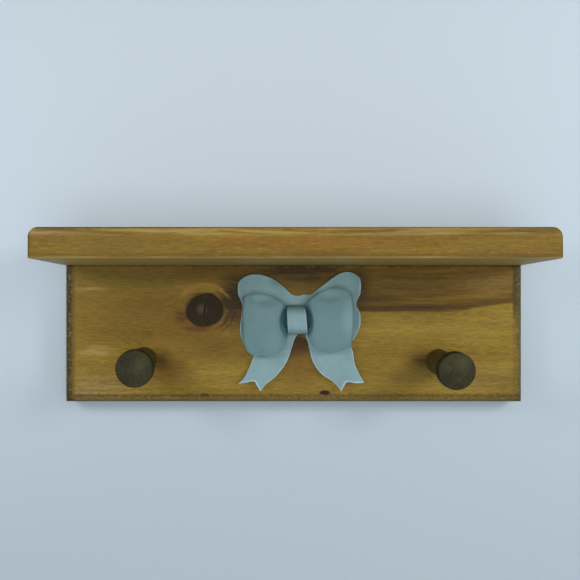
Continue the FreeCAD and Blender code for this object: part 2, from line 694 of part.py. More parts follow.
def loop_profile():
    """The loops seen from above: their outer line, and the hollow of each."""
    rear, thick = bow_layers()["loop"], size("sheet_thick")
    middle, band = size("bow_right"), size("band_width") * HALF
    depth = size("loop_deep") - 2 * thick
    outer = []
    hollows = []
    tips = {}
    for side, reach in ((-1, size("loop_left_reach")), (1, size("loop_right_reach"))):
        start = band + thick
        length = reach - thick - start
        points = []
        for along, deep in LOOP_HOLLOW_SHARES:
            across = middle + side * (start + along * length)
            points.append(FreeCAD.Vector(across, -(rear + thick + deep * depth), 0))
        inner = Part.BSplineCurve()
        inner.interpolate(points)
        back = Part.LineSegment(points[-1], points[0]).toShape()
        hollows.append([inner.toShape(), back])
        spread = []
        for point in points:
            direction = FreeCAD.Vector(*inner.tangent(inner.parameter(point))[0])
            outward = FreeCAD.Vector(side * direction.y, -side * direction.x, 0)
            spread.append(point + outward.multiply(thick))
        skin = Part.BSplineCurve()
        skin.interpolate(spread)
        outer.append(skin.toShape())
        tips[side] = (spread[0], spread[-1])
    outer.append(Part.LineSegment(tips[-1][0], tips[1][0]).toShape())
    outer.append(Part.LineSegment(tips[-1][1], tips[1][1]).toShape())
    return outer, hollows, -tips[1][0].y


def build_bow_loops():
    """The two loops, folded from one strip and pressed flat where the band holds them."""
    outer, hollows, _ = loop_profile()
    tall = 2 * size("bow_height")
    lift = FreeCAD.Vector(0, 0, -size("bow_height"))

    def column(edges):
        solid = Part.Face(Part.Wire(Part.__sortEdges__(edges))).extrude(FreeCAD.Vector(0, 0, tall))
        solid.translate(lift)
        return solid

    sheet = column(outer)
    for hollow in hollows:
        sheet = sheet.cut(column(hollow))
    half_width, half_height = size("bow_width") * HALF, size("bow_height") * HALF
    middle = (size("bow_right"), size("bow_above"))
    waist = size("band_width") * HALF + size("sheet_thick") * HALF
    hold = size("band_height") * HALF - size("sheet_thick") - size("sheet_gap")
    tops = (LOOP_TOP_LEFT_SHARES, LOOP_TOP_RIGHT_SHARES)
    lows = (LOOP_LOW_RIGHT_SHARES, LOOP_LOW_LEFT_SHARES)
    runs = [share_points(shares, half_width, half_height, *middle) for shares in tops + lows]
    corners = [
        FreeCAD.Vector(middle[0] + across * waist, 0, middle[1] + up * hold)
        for across, up in ((-1, 1), (1, 1), (1, -1), (-1, -1))
    ]
    edges = [curve_edge(run) for run in runs]
    edges.append(curve_edge([runs[0][-1], corners[0]]))
    edges.append(curve_edge([corners[0], corners[1]]))
    edges.append(curve_edge([corners[1], runs[1][0]]))
    edges.append(curve_edge([runs[1][-1], runs[2][0]]))
    edges.append(curve_edge([runs[2][-1], corners[2]]))
    edges.append(curve_edge([corners[2], corners[3]]))
    edges.append(curve_edge([corners[3], runs[3][0]]))
    edges.append(curve_edge([runs[3][-1], runs[0][0]]))
    prism = front_prism(edges, size("board_thick"), size("board_thick") + size("bow_width"))
    return add_feature("bow_loops", pin_holes(sheet.common(prism)))


def build_bow_tail(label, runs):
    """A swallow-tailed tail: flat behind the loops, then curling gently forward."""
    rear, thick = bow_layers()["tail"], size("sheet_thick")
    radius, flat = size("tail_curl_radius"), size("tail_flat")
    reach, middle = size("bow_width"), size("bow_above")
    drop = size("bow_height") - flat
    turn = math.asin(min(drop / radius, 1.0))
    left = size("bow_right") - reach

    def curl_point(distance, part):
        y = -(rear + thick + radius - distance * math.cos(turn * part))
        return FreeCAD.Vector(left, y, middle - flat - distance * math.sin(turn * part))

    edges = []
    for distance in (radius, radius + thick):
        start, bend, finish = (curl_point(distance, part) for part in (0.0, HALF, 1.0))
        top = FreeCAD.Vector(left, start.y, middle + flat)
        edges.append(Part.LineSegment(top, start).toShape())
        edges.append(Part.Arc(start, bend, finish).toShape())
    faces = (radius, radius + thick)
    ends = [curl_point(distance, 1.0) for distance in faces]
    edges.append(Part.LineSegment(*ends).toShape())
    tops = [FreeCAD.Vector(left, curl_point(distance, 0.0).y, middle + flat) for distance in faces]
    edges.append(Part.LineSegment(*tops).toShape())
    sheet = Part.Face(Part.Wire(Part.__sortEdges__(edges))).extrude(FreeCAD.Vector(2 * reach, 0, 0))
    prism = front_prism(bow_outline(runs), rear - size("overrun"), rear + reach)
    return add_feature(label, pin_holes(sheet.common(prism)))


def build_bow_band():
    """The band round the middle: a rounded front, and two tucks behind that leave a slot for the pins."""
    body = new_body("bow_band")
    thick = "sizes.sheet_thick"
    high = "sizes.band_height / 2"
    side = "-3 * (sizes.sheet_thick + sizes.sheet_gap)"
    outline = new_sketch(body, "band_outline", "YZ_Plane")
    profile(outline, (("0", f"-{high}"), ("0", high), (side, high), (side, f"-{high}")),
            {2: ("-sizes.band_front", "0")})
    pad(body, outline, "sizes.band_width", True)
    inner = new_sketch(body, "band_inner", "YZ_Plane", lift="-sizes.band_width / 2")
    inner_high = f"({high} - {thick})"
    corners = ((f"-{thick}", f"-{inner_high}"), (f"-{thick}", inner_high), (side, inner_high),
               (side, f"-{inner_high}"))
    profile(inner, corners, {2: (f"-(sizes.band_front - {thick})", "0")})
    pocket(body, inner, "sizes.band_width + sizes.overrun", True)
    slot = new_sketch(body, "band_slot", "YZ_Plane", lift="-sizes.band_width / 2")
    half_slot = f"({high} - sizes.band_tuck)"
    floor = f"-{thick} - sizes.sheet_gap"
    corners = (("sizes.overrun", f"-{half_slot}"), ("sizes.overrun", half_slot), (floor, half_slot),
               (floor, f"-{half_slot}"))
    profile(slot, corners)
    pocket(body, slot, "sizes.band_width + sizes.overrun", True)
    rear = "-(sizes.board_thick + 3 * sizes.sheet_gap + 2 * sizes.sheet_thick)"
    place(body, "sizes.bow_right", rear, "sizes.bow_above")
    return body


def build_bow_pins():
    """Two headed pins that hold the bow's sheets to the back board, under the band."""
    seat = loop_profile()[2] + size("sheet_gap")
    pins = []
    for x in PIN_PLACES:
        across, high = number(x), size("bow_above")
        inward = FreeCAD.Vector(0, 1, 0)
        head_start = FreeCAD.Vector(across, -(seat + size("pin_head_thick")), high)
        head = Part.makeCylinder(size("pin_head_radius"), size("pin_head_thick"), head_start, inward)
        length = seat + size("pin_head_thick") - size("board_thick") + size("pin_bite")
        pins.append(head.fuse(Part.makeCylinder(size("pin_radius"), length, head_start, inward)))
    return add_feature("bow_pins", Part.makeCompound(pins))


def build_all():
    """Every sub-part, in the order in which they are put together."""
    parts = [build_back_board(), build_knot(), build_shelf(), build_shelf_screws()]
    parts += [build_peg(label, x, z) for label, (x, z) in PEG_PLACES.items()]
    parts += [build_plate(label, x) for label, x in PLATE_PLACES.items()]
    parts.append(build_plate_screws())
    parts.append(build_bow_back())
    parts.append(build_bow_tail("bow_tail_left", TAIL_LEFT_SHARES))
    parts.append(build_bow_tail("bow_tail_right", TAIL_RIGHT_SHARES))
    parts.append(build_bow_loops())
    parts.append(build_bow_band())
    parts.append(build_bow_pins())
    return parts


def check_and_write(parts):
    """Stops on any failed object or bad shape, then writes one file for each sub-part."""
    doc.recompute()
    for item in doc.Objects:
        if "Invalid" in item.State or "Error" in item.State:
            raise RuntimeError(f"{item.Label} failed: {item.State}")
    os.makedirs("parts", exist_ok=True)
    for part in parts:
        shape = part.Shape
        if shape.isNull() or not shape.isValid() or not shape.Solids:
            raise RuntimeError(f"{part.Label} has a bad shape")
    for part in parts:
        part.Shape.exportStep(os.path.join("parts", f"{part.Label}.step"))
        box = part.Shape.optimalBoundingBox(False)
        spans = ((box.XMin, box.XMax), (box.YMin, box.YMax), (box.ZMin, box.ZMax))
        reach = " ".join(f"{low:8.2f} to {high:8.2f}" for low, high in spans)
        print(f"{part.Label:20s} solids {len(part.Shape.Solids)}, volume {part.Shape.Volume:10.1f}, {reach}")


check_and_write(build_all())
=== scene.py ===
"""The looks of a waxed pine wall shelf with dowel pegs and a painted folded bow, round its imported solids."""
import math

import bpy
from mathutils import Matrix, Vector


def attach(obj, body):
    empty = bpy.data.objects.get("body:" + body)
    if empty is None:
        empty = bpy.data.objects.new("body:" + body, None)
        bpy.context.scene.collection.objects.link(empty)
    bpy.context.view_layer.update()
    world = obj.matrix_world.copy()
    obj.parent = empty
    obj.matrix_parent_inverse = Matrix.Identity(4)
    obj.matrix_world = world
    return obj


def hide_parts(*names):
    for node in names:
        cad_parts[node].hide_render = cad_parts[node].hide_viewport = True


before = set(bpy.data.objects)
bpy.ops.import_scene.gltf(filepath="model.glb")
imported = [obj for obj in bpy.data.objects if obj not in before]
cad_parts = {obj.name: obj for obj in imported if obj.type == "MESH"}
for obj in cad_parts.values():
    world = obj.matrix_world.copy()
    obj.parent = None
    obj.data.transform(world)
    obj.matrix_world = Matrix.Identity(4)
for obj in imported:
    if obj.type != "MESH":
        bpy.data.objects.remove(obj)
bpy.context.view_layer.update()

MM = 0.001
SMOOTH_BELOW = math.radians(40)

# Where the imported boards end: half the length of each, half the back board's height, and the plank's low
# face, top and front.
BOARD_END_MM = 169.0
BOARD_EDGE_MM = 50.5
PLANK_END_MM = 170.0
PLANK_LOW_MM = 50.5
PLANK_TOP_MM = 70.5
PLANK_FRONT_MM = -100.0

# The camera stands level with the bow, square to the wall.
CAMERA_PLACE_MM = (-7.5, -579.0, 19.6)
CAMERA_LENS_MM = 46.95
CAMERA_SHIFT = (0.0112, 0.0293)

# The bow's middle on the board, the sheet that it is folded from, and how far its layers stand off the wall.
BOW_MIDDLE_MM = (2.5, 10.4)
SHEET_MM = 1.1
BACK_FRONT_MM = 21.2
TAIL_FRONT_MM = 22.4
LOOP_REAR_MM = 23.75


def linear(colour):
    """A written sRGB colour as the linear one that the nodes take."""
    shares = [int(colour[place:place + 2], 16) / 255 for place in (1, 3, 5)]
    return (*(s / 12.92 if s <= 0.04045 else ((s + 0.055) / 1.055) ** 2.4 for s in shares), 1.0)


def add_node(tree, kind, inputs=None, out=0, ramp=(), **settings):
    """Adds one node with its settings and links, and gives one of its outputs."""
    made = tree.nodes.new("ShaderNode" + kind)
    for name, value in settings.items():
        setattr(made, name, value)
    for name, value in (inputs or {}).items():
        if isinstance(value, bpy.types.NodeSocket):
            tree.links.new(value, made.inputs[name])
        else:
            made.inputs[name].default_value = linear(value) if isinstance(value, str) else value
    for index, (place, colour) in enumerate(ramp):
        stops = made.color_ramp.elements
        stop = stops[index] if index < len(stops) else stops.new(place)
        stop.position = place
        stop.color = linear(colour)
    return made.outputs[out] if len(made.outputs) else None


def new_material(name):
    """A material with an empty tree, and its own coordinates in millimetres."""
    material = bpy.data.materials.new(name)
    material.use_nodes = True
    tree = material.node_tree
    tree.nodes.clear()
    coords = add_node(tree, "TexCoord", out=3)
    return material, tree, add_node(tree, "VectorMath", {0: coords, 1: (1 / MM,) * 3}, operation="MULTIPLY")


def per_mm(*lengths):
    """The scale that makes a pattern's grain as long as these lengths."""
    return tuple(1 / length for length in lengths)


def patched(tree, colour, spots, streaks, stains_and_shade):
    """A colour with marks along its streaks, real ones and painted light and shade: middle, reach, colour,
    strength.
    """
    for middle, reach, patch_colour, strength in stains_and_shade:
        fit = add_node(tree, "Mapping", {"Vector": spots, "Scale": per_mm(*reach),
                                         "Location": tuple(-m / r for m, r in zip(middle, reach))})
        patch = add_node(tree, "TexGradient", {"Vector": fit}, out=1, gradient_type="SPHERICAL")
        patch = add_node(tree, "MapRange", {0: patch, 4: strength}, interpolation_type="SMOOTHSTEP")
        share = add_node(tree, "Math", {0: patch, 1: streaks}, operation="MULTIPLY", use_clamp=True)
        colour = add_node(tree, "Mix", {0: share, 6: colour, 7: patch_colour}, out=2, data_type="RGBA")
    return colour


def end_material(tree, colour, roughness, height=None, depth_mm=0.1, **surface):
    """Ends a tree in one principled surface, with a bump of a real depth."""
    inputs = {"Base Color": colour, "Roughness": roughness}
    inputs.update({name.replace("_", " "): value for name, value in surface.items()})
    if height is not None:
        inputs["Normal"] = add_node(tree, "Bump", {
            "Strength": 1.0, "Distance": depth_mm * MM, "Height": height})
    shader = add_node(tree, "BsdfPrincipled", inputs)
    add_node(tree, "OutputMaterial", {"Surface": shader})


def gap_from(tree, value, middle):
    """How far a value is from a middle one, either way."""
    gap = add_node(tree, "Math", {0: value, 1: middle}, operation="SUBTRACT")
    return add_node(tree, "Math", {0: gap}, operation="ABSOLUTE")


def repaint(node, material):
    """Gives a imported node's object its finished material."""
    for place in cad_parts[node].material_slots:
        place.material = material


# The camera, set by the photograph's view: level, with the object's height in the frame from the shift.
lens = bpy.data.cameras.new("view")
lens.lens = CAMERA_LENS_MM
lens.shift_x, lens.shift_y = CAMERA_SHIFT
camera = bpy.data.objects.new("view", lens)
camera.location = Vector(CAMERA_PLACE_MM) * MM
camera.rotation_euler = (math.radians(90), 0, 0)
bpy.context.scene.collection.objects.link(camera)
bpy.context.scene.camera = camera
bpy.context.scene.view_settings.view_transform = "Standard"


# Plain soft light: a lamp at each side, in front and a little above, a broad one in front, one overhead for
# the plank's top, one behind the wall, and an even sky.
def add_lamp(name, place_mm, aim_mm, size_mm, watts, tint):
    """A square soft lamp that faces its aim."""
    glow = bpy.data.lights.new(name, "AREA")
    glow.energy, glow.size, glow.color = watts, size_mm * MM, linear(tint)[:3]
    lamp = bpy.data.objects.new(name, glow)
    lamp.location = Vector(place_mm) * MM
    lamp.rotation_euler = (Vector(aim_mm) - Vector(place_mm)).to_track_quat("-Z", "Y").to_euler()
    bpy.context.scene.collection.objects.link(lamp)


add_lamp("lamp_left", (-420.0, -430.0, 165.0), (-60.0, 0.0, 0.0), 140.0, 0.75, "#ffffff")
add_lamp("lamp_right", (560.0, -560.0, 210.0), (40.0, 0.0, 0.0), 220.0, 1.85, "#ffffff")
add_lamp("lamp_front", (60.0, -1500.0, -120.0), (0.0, 0.0, 0.0), 900.0, 8.5, "#ffffff")
add_lamp("lamp_above", (0.0, -40.0, 900.0), (0.0, -40.0, 0.0), 240.0, 2.0, "#ffffff")
add_lamp("lamp_behind", (0.0, 700.0, 500.0), (0.0, 0.0, 0.0), 600.0, 3.0, "#ffffff")

sky = bpy.data.worlds.new("even_sky")
sky.use_nodes = True
sky.node_tree.nodes.clear()
seen = add_node(sky.node_tree, "LightPath", out=0)
fill = add_node(sky.node_tree, "Background", {"Color": "#ffffff", "Strength": 0.34})
backdrop = add_node(sky.node_tree, "Background", {"Color": "#c6d3dd", "Strength": 1.0})
mixed = add_node(sky.node_tree, "MixShader", {0: seen, 1: fill, 2: backdrop})
add_node(sky.node_tree, "OutputWorld", {"Surface": mixed})
bpy.context.scene.world = sky

# The painted wall that the shelf hangs on, and a floor below. The wall has a window behind the boards,
# narrower than they are, so that light reaches their rear faces, and it is clear when seen from behind.
WALL_GAP_MM = 0.5
WALL_REACH_MM = 1600.0
WINDOW_END_MM = 168.0
WINDOW_LOW_MM = -49.5
WINDOW_TOP_MM = 69.5
FLOOR_MM = -900.0
bpy.ops.object.select_all(action="DESELECT")
bpy.ops.mesh.primitive_plane_add(size=2 * WALL_REACH_MM * MM, location=(0, WALL_GAP_MM * MM, 0),
                                 rotation=(math.radians(90), 0, 0))
wall = bpy.context.object
wall.name = "wall"
bpy.ops.object.transform_apply(location=True, rotation=True)
bpy.ops.object.mode_set(mode="EDIT")
for place_mm, side in ((-WINDOW_END_MM, (1, 0, 0)), (WINDOW_END_MM, (1, 0, 0)),
                       (WINDOW_LOW_MM, (0, 0, 1)), (WINDOW_TOP_MM, (0, 0, 1))):
    bpy.ops.mesh.select_all(action="SELECT")
    bpy.ops.mesh.bisect(plane_co=Vector(side) * place_mm * MM, plane_no=side)
bpy.ops.mesh.select_all(action="DESELECT")
bpy.ops.object.mode_set(mode="OBJECT")
for face in wall.data.polygons:
    spot = face.center / MM
    face.select = abs(spot.x) < WINDOW_END_MM and WINDOW_LOW_MM < spot.z < WINDOW_TOP_MM
bpy.ops.object.mode_set(mode="EDIT")
bpy.ops.mesh.delete(type="FACE")
bpy.ops.object.mode_set(mode="OBJECT")

# Matt wall paint: a pale blue-grey, a little deeper lower down as painted shade for the light falling off
# downwards, with the faintest roller stipple.
material, tree, spots = new_material("matt_wall_paint")
falloff_height = add_node(tree, "SeparateXYZ", {0: spots}, out=2)
falloff_height = add_node(tree, "MapRange", {0: falloff_height, 1: -180.0, 2: 220.0}, interpolation_type="SMOOTHSTEP")
shade = add_node(tree, "ValToRGB", {"Fac": falloff_height}, ramp=(
    (0.0, "#b5c3cd"), (0.5, "#bdccd7"), (1.0, "#c4d1db")))
stipple = add_node(tree, "TexNoise", {"Vector": spots, "Scale": 0.6, "Detail": 3.0})
relief = add_node(tree, "Bump", {"Strength": 1.0, "Distance": 0.05 * MM, "Height": stipple})
paint = add_node(tree, "BsdfDiffuse", {"Color": shade, "Normal": relief})
clear = add_node(tree, "BsdfTransparent")
turned = add_node(tree, "NewGeometry", out=6)
add_node(tree, "OutputMaterial", {"Surface": add_node(tree, "MixShader", {0: turned, 1: paint, 2: clear})})
wall.data.materials.append(material)

# Pale floor paint, a little clouded, which throws soft light up at the underside.
bpy.ops.object.select_all(action="DESELECT")
bpy.ops.mesh.primitive_plane_add(size=2 * WALL_REACH_MM * MM, location=(0, 0, FLOOR_MM * MM))
floor = bpy.context.object
floor.name = "floor"
material, tree, spots = new_material("pale_floor_paint")
cloud = add_node(tree, "TexNoise", {"Vector": spots, "Scale": 0.004, "Detail": 2.0})
shade = add_node(tree, "ValToRGB", {"Fac": cloud}, ramp=((0.3, "#cfd8df"), (0.7, "#d6dfe5")))
end_material(tree, shade, 0.6)
floor.data.materials.append(material)

# Waxed pine: both boards are flat-sawn pine, stained olive-gold, waxed and rubbed down. The eye gets an even
# gold with streaks along the board, fibres, pale flecks where the wax is thin, and stain left dark along the
# arrises, with painted shade on the back board's; some of the marks laid along the streaks are painted shade
# and shadow. Real fibres are finer than the picture's points, so they are drawn a millimetre thick, which the
# eye takes for the same grain. The layers of grain are clouds, streaks, fibres and flecks, each with its size
# along, through and up the board, and its detail.
DRIFT_MM = 12.0
KNOT_PULL = 0.82
RING_MM = 3.6
GRAIN_LAYERS = (((90, 24, 20), 1.5), ((46, 3.0, 2.2), 3.0), ((8, 1.0, 0.8), 2.0), ((2.6, 1.2, 1.0), 2.0))
SOFT_BORDER_MM = 1.6


def pine(name, pith_mm, tones, knot=None, stains_and_shade=()):
    """Waxed pine with its growth lines round a pith line; the lines part round a knot."""
    material, tree, spots = new_material(name)
    axes = add_node(tree, "SeparateXYZ", {0: spots}).node.outputs
    drift = add_node(tree, "TexNoise", {"Vector": add_node(tree, "Mapping", {
        "Vector": spots, "Scale": per_mm(120, 40, 45)}), "Scale": 1.0, "Detail": 1.5})
    drift = add_node(tree, "Math", {0: drift, 1: DRIFT_MM}, operation="MULTIPLY")
    height = add_node(tree, "Math", {0: axes[2], 1: drift}, operation="ADD")
    if knot:
        (knot_x, knot_z), reach = knot
        near = add_node(tree, "Mapping", {
            "Vector": spots, "Scale": per_mm(*reach),
            "Location": (-knot_x / reach[0], 20 / reach[1], -knot_z / reach[2])})
        near = add_node(tree, "TexGradient", {"Vector": near}, out=1, gradient_type="SPHERICAL")
        near = add_node(tree, "MapRange", {0: near, 4: KNOT_PULL}, interpolation_type="SMOOTHSTEP")
        above = add_node(tree, "Math", {0: axes[2], 1: knot_z}, operation="SUBTRACT")
        pull = add_node(tree, "Math", {0: above, 1: near}, operation="MULTIPLY")
        height = add_node(tree, "Math", {0: height, 1: pull}, operation="SUBTRACT")
    lay = add_node(tree, "CombineXYZ", {0: axes[0], 1: axes[1], 2: height})

    # The growth rings, each ending in a thin darker line of late wood.
    across = add_node(tree, "Math", {0: axes[1], 1: pith_mm[0]}, operation="SUBTRACT")
    along = add_node(tree, "Math", {0: height, 1: pith_mm[1]}, operation="SUBTRACT")
    squares = [add_node(tree, "Math", {0: side, 1: side}, operation="MULTIPLY") for side in (across, along)]
    radius = add_node(tree, "Math", {0: squares[0], 1: squares[1]}, operation="ADD")
    radius = add_node(tree, "Math", {0: radius}, operation="SQRT")
    turns = add_node(tree, "Math", {0: radius, 1: RING_MM}, operation="DIVIDE")
    rings = add_node(tree, "Math", {0: turns}, operation="FRACT")
    rings = add_node(tree, "ValToRGB", {"Fac": rings}, ramp=(
        (0.0, "#ececec"), (0.12, "#ffffff"), (0.62, "#e6e6e6"), (0.9, "#9a9a9a"), (0.96, "#7c7c7c"),
        (1.0, "#ececec")))

    # The layers of grain, drawn out along the board, and the stains soaked in along the streaks.
    clouds, streaks, fibres, flecks = [
        add_node(tree, "TexNoise", {
            "Vector": add_node(tree, "Mapping", {"Vector": lay, "Scale": per_mm(*grain_mm)}),
            "Scale": 1.0, "Detail": detail, "Roughness": 0.6})
        for grain_mm, detail in GRAIN_LAYERS]
    dark, middle, light = tones
    colour = add_node(tree, "ValToRGB", {"Fac": clouds}, ramp=((0.34, dark), (0.5, middle), (0.66, light)))
    colour = add_node(tree, "Mix", {0: 0.13, 6: colour, 7: rings}, out=2, data_type="RGBA",
                      blend_type="MULTIPLY")
    thin_wax = add_node(tree, "MapRange", {0: flecks, 1: 0.55, 2: 0.75, 4: 0.32})
    colour = add_node(tree, "Mix", {0: thin_wax, 6: colour, 7: "#b39c5e"}, out=2, data_type="RGBA")
    along_streaks = add_node(tree, "MapRange", {0: streaks, 1: 0.3, 2: 0.62, 3: 0.6, 4: 1.2})
    colour = patched(tree, colour, spots, along_streaks, stains_and_shade)
    for layer, share, low in ((streaks, 0.34, "#b0a48e"), (fibres, 0.55, "#a89f8c")):
        tone = add_node(tree, "ValToRGB", {"Fac": layer}, ramp=((0.3, low), (0.62, "#ffffff")))
        colour = add_node(tree, "Mix", {0: share, 6: colour, 7: tone}, out=2, data_type="RGBA",
                          blend_type="MULTIPLY")
    return material, tree, spots, axes, streaks, fibres, colour


def near_edge(tree, spots, axis, edge_mm, reach_mm, ragged_mm):
    """How near a place is to an edge across one axis: 1 at the edge, with a ragged inner border."""
    ragged = add_node(tree, "TexNoise", {"Vector": add_node(tree, "Mapping", {
        "Vector": spots, "Scale": per_mm(5, 5, 5)}), "Scale": 1.0, "Detail": 4.0, "Roughness": 0.75})
    ragged = add_node(tree, "Math", {0: ragged, 1: ragged_mm}, operation="MULTIPLY")
    gap = add_node(tree, "Math", {0: gap_from(tree, axis, edge_mm), 1: ragged}, operation="ADD")
    return add_node(tree, "MapRange", {0: gap, 1: reach_mm, 2: reach_mm - SOFT_BORDER_MM},
                    interpolation_type="SMOOTHSTEP")


# The back board: the knot's lines, the brown band along its upper right, and stain with painted shade on its
# arrises.
KNOT_MM = (-65.9, 17.6)
material, tree, spots, axes, streaks, fibres, colour = pine(
    "waxed_pine_board", (38.0, -12.0), ("#876d1e", "#937826", "#9c822f"), knot=(KNOT_MM, (46, 60, 27)),
    stains_and_shade=(
        # the olive band along the upper left and over the knot, wood darkened with painted shade under the
        # plank, and the browner wood round and right of the knot, darkest right of it, dark wood with painted
        # shadow of the bow
        ((-140, -20, 44), (100, 30, 20), "#6a5824", 0.6),
        ((-118, -20, 12), (90, 30, 34), "#75591f", 0.7),
        ((-66, -20, 48), (60, 30, 20), "#6c5114", 0.8),
        ((-70, -20, 6), (46, 30, 30), "#715010", 0.85),
        ((-44, -20, 26), (20, 30, 30), "#40300f", 1.3),
        ((-83, -20, 12), (8, 30, 8), "#5e3a0f", 1.0),
        ((-72, -20, 4), (15, 30, 4), "#63400f", 1.0),
        # the dark top between the bow's lobes, dark wood with painted shade under the plank; painted shadow of
        # the band just below it; and the red wood between its tails
        ((6, -20, 48), (60, 30, 24), "#4b3913", 1.15),
        ((2, -20, -9), (17, 30, 16), "#442b06", 1.8),
        ((4, -20, -24), (28, 30, 20), "#7a591c", 0.8),
        # pale wood low on both sides, and browner wood below the knot and the bow
        ((-150, -20, -42), (60, 30, 20), "#a8925a", 0.6),
        ((-146, -20, -13), (18, 30, 6), "#a8925a", 0.7),
        ((-56, -20, -11), (30, 30, 14), "#6c5317", 0.9),
        ((6, -20, -38), (30, 30, 10), "#7d6728", 0.6),
        ((-151, -20, 33), (18, 30, 1.8), "#a39158", 0.9),
        ((138, -20, -34), (60, 30, 18), "#9c8545", 0.5),
        # the pegs' own stain, bled into the board beside their sockets, with the pegs' painted shadows laid in
        # it
        ((-91, -20, -25), (28, 30, 20), "#6b4a10", 0.8),
        ((-98, -20, -19), (12, 30, 12), "#46300c", 0.7),
        ((95, -20, -20), (22, 30, 14), "#50390c", 0.9),
        ((84, -20, -32), (24, 30, 10), "#6f5b26", 0.6),
        # pin knots
        ((23, -20, -43.8), (5.5, 30, 2.6), "#1e1408", 2.6),
        ((-65.7, -20, -45.4), (5, 30, 1.9), "#4a3a1a", 1.8),
    ))

# The wood that closed round the knot: a pale arch over it, and darker rings round its right. The distance is
# counted in the knot's own half width and height, and each ring shows only past a place on one axis.
KNOT_RINGS_MM = (-65.9, 17.5)
KNOT_REACH_MM = (13.5, 12.3)
from_knot = add_node(tree, "Mapping", {
    "Vector": spots, "Scale": (1 / KNOT_REACH_MM[0], 0.0, 1 / KNOT_REACH_MM[1]),
    "Location": (-KNOT_RINGS_MM[0] / KNOT_REACH_MM[0], 0.0, -KNOT_RINGS_MM[1] / KNOT_REACH_MM[1])})
from_knot = add_node(tree, "VectorMath", {0: from_knot}, out=1, operation="LENGTH")
unrest = add_node(tree, "Math", {0: streaks, 1: 0.5}, operation="MULTIPLY")
from_knot = add_node(tree, "Math", {0: from_knot, 1: unrest}, operation="ADD")
for place, reach, first_mm, last_mm, axis, tone, strength in (
        (1.72, 0.26, 24.0, 31.0, axes[2], "#94742d", 0.9),
        (1.6, 0.16, -60.0, -52.0, axes[0], "#382a12", 0.8),
        (1.88, 0.1, -58.0, -50.0, axes[0], "#382a12", 0.6),
        (1.22, 0.2, -200.0, -190.0, axes[0], "#3e2c14", 0.8)):
    off = gap_from(tree, from_knot, place)
    ring = add_node(tree, "MapRange", {0: off, 1: reach, 2: 0.0, 4: strength},
                    interpolation_type="SMOOTHSTEP")
    side = add_node(tree, "MapRange", {0: axis, 1: first_mm, 2: last_mm}, interpolation_type="SMOOTHSTEP")
    ring = add_node(tree, "Math", {0: ring, 1: side}, operation="MULTIPLY")
    colour = add_node(tree, "Mix", {0: ring, 6: colour, 7: tone}, out=2, data_type="RGBA")

# The brown band, right of the bow: its lower edge bends up to the right, and is darkest just above it. The
# dark patch beside the bow's right lobe is painted shadow of the bow.
bend = add_node(tree, "MapRange", {0: axes[0], 1: 108, 2: 166, 3: 16.0, 4: 22.5},
                interpolation_type="SMOOTHSTEP")
over = add_node(tree, "Math", {0: axes[2], 1: bend}, operation="SUBTRACT")
ragged = add_node(tree, "Math", {0: streaks, 1: 3.0}, operation="MULTIPLY")
over = add_node(tree, "Math", {0: over, 1: ragged}, operation="ADD")
right = add_node(tree, "MapRange", {0: axes[0], 1: 30, 2: 50}, interpolation_type="SMOOTHSTEP")
brown = add_node(tree, "ValToRGB", {"Fac": streaks}, ramp=(
    (0.3, "#5e4611"), (0.5, "#715614"), (0.7, "#81651e")))
lower = add_node(tree, "MapRange", {0: over, 1: 12.0, 2: 3.0, 4: 0.85}, interpolation_type="SMOOTHSTEP")
faded = add_node(tree, "MapRange", {0: axes[0], 1: 70, 2: 150, 3: 1.0, 4: 0.45})
lower = add_node(tree, "Math", {0: lower, 1: faded}, operation="MULTIPLY")
brown = add_node(tree, "Mix", {0: lower, 6: brown, 7: "#483408"}, out=2, data_type="RGBA")
brown = patched(tree, brown, spots, streaks, (
    ((62, -20, 26), (34, 30, 5), "#33260d", 1.3), ((98, -20, 19.5), (50, 30, 2.4), "#35260d", 1.3),
    ((70, -20, 33), (46, 30, 1.6), "#35260a", 0.6), ((112, -20, 41), (50, 30, 1.6), "#3f2e10", 1.0),
    ((49, -20, 34), (12, 30, 26), "#312409", 1.4), ((142, -20, 38), (40, 30, 16), "#8c7238", 1.2)))
grain = add_node(tree, "ValToRGB", {"Fac": fibres}, ramp=((0.3, "#b5ab98"), (0.62, "#ffffff")))
brown = add_node(tree, "Mix", {0: 0.6, 6: brown, 7: grain}, out=2, data_type="RGBA", blend_type="MULTIPLY")
over = add_node(tree, "MapRange", {0: over, 1: 0.6, 2: 2.4}, interpolation_type="SMOOTHSTEP")
band = add_node(tree, "Math", {0: over, 1: right}, operation="MULTIPLY")
colour = add_node(tree, "Mix", {0: band, 6: colour, 7: brown}, out=2, data_type="RGBA")

# The arrises: old stain left in the corners, with painted shade where the rounded arrises turn from the
# light, crumbled at its inner border. The low one is rubbed pale in its middle, and the right one is darker
# above, where the brown band meets it.
upper = add_node(tree, "MapRange", {0: axes[2], 1: 8, 2: 18, 3: 0.3, 4: 0.9})
crumbs = add_node(tree, "TexNoise", {"Vector": spots, "Scale": 0.9, "Detail": 3.0, "Roughness": 0.7})
crumbs = add_node(tree, "MapRange", {0: crumbs, 1: 0.36, 2: 0.58, 3: 1.0, 4: 0.45})
up_arris = add_node(tree, "Math", {0: crumbs, 1: 1.6}, operation="MULTIPLY")
up_arris = add_node(tree, "Math", {0: axes[2], 1: up_arris}, operation="ADD")
up_arris = add_node(tree, "MapRange", {0: up_arris, 1: -BOARD_EDGE_MM, 2: 8.0 - BOARD_EDGE_MM})
low_arris_tone = add_node(tree, "ValToRGB", {"Fac": up_arris}, ramp=(
    (0.0, "#3b3a22"), (0.2, "#443e20"), (0.42, "#63562f"), (0.56, "#62502a"), (0.68, "#42300f"),
    (1.0, "#5b4518")))
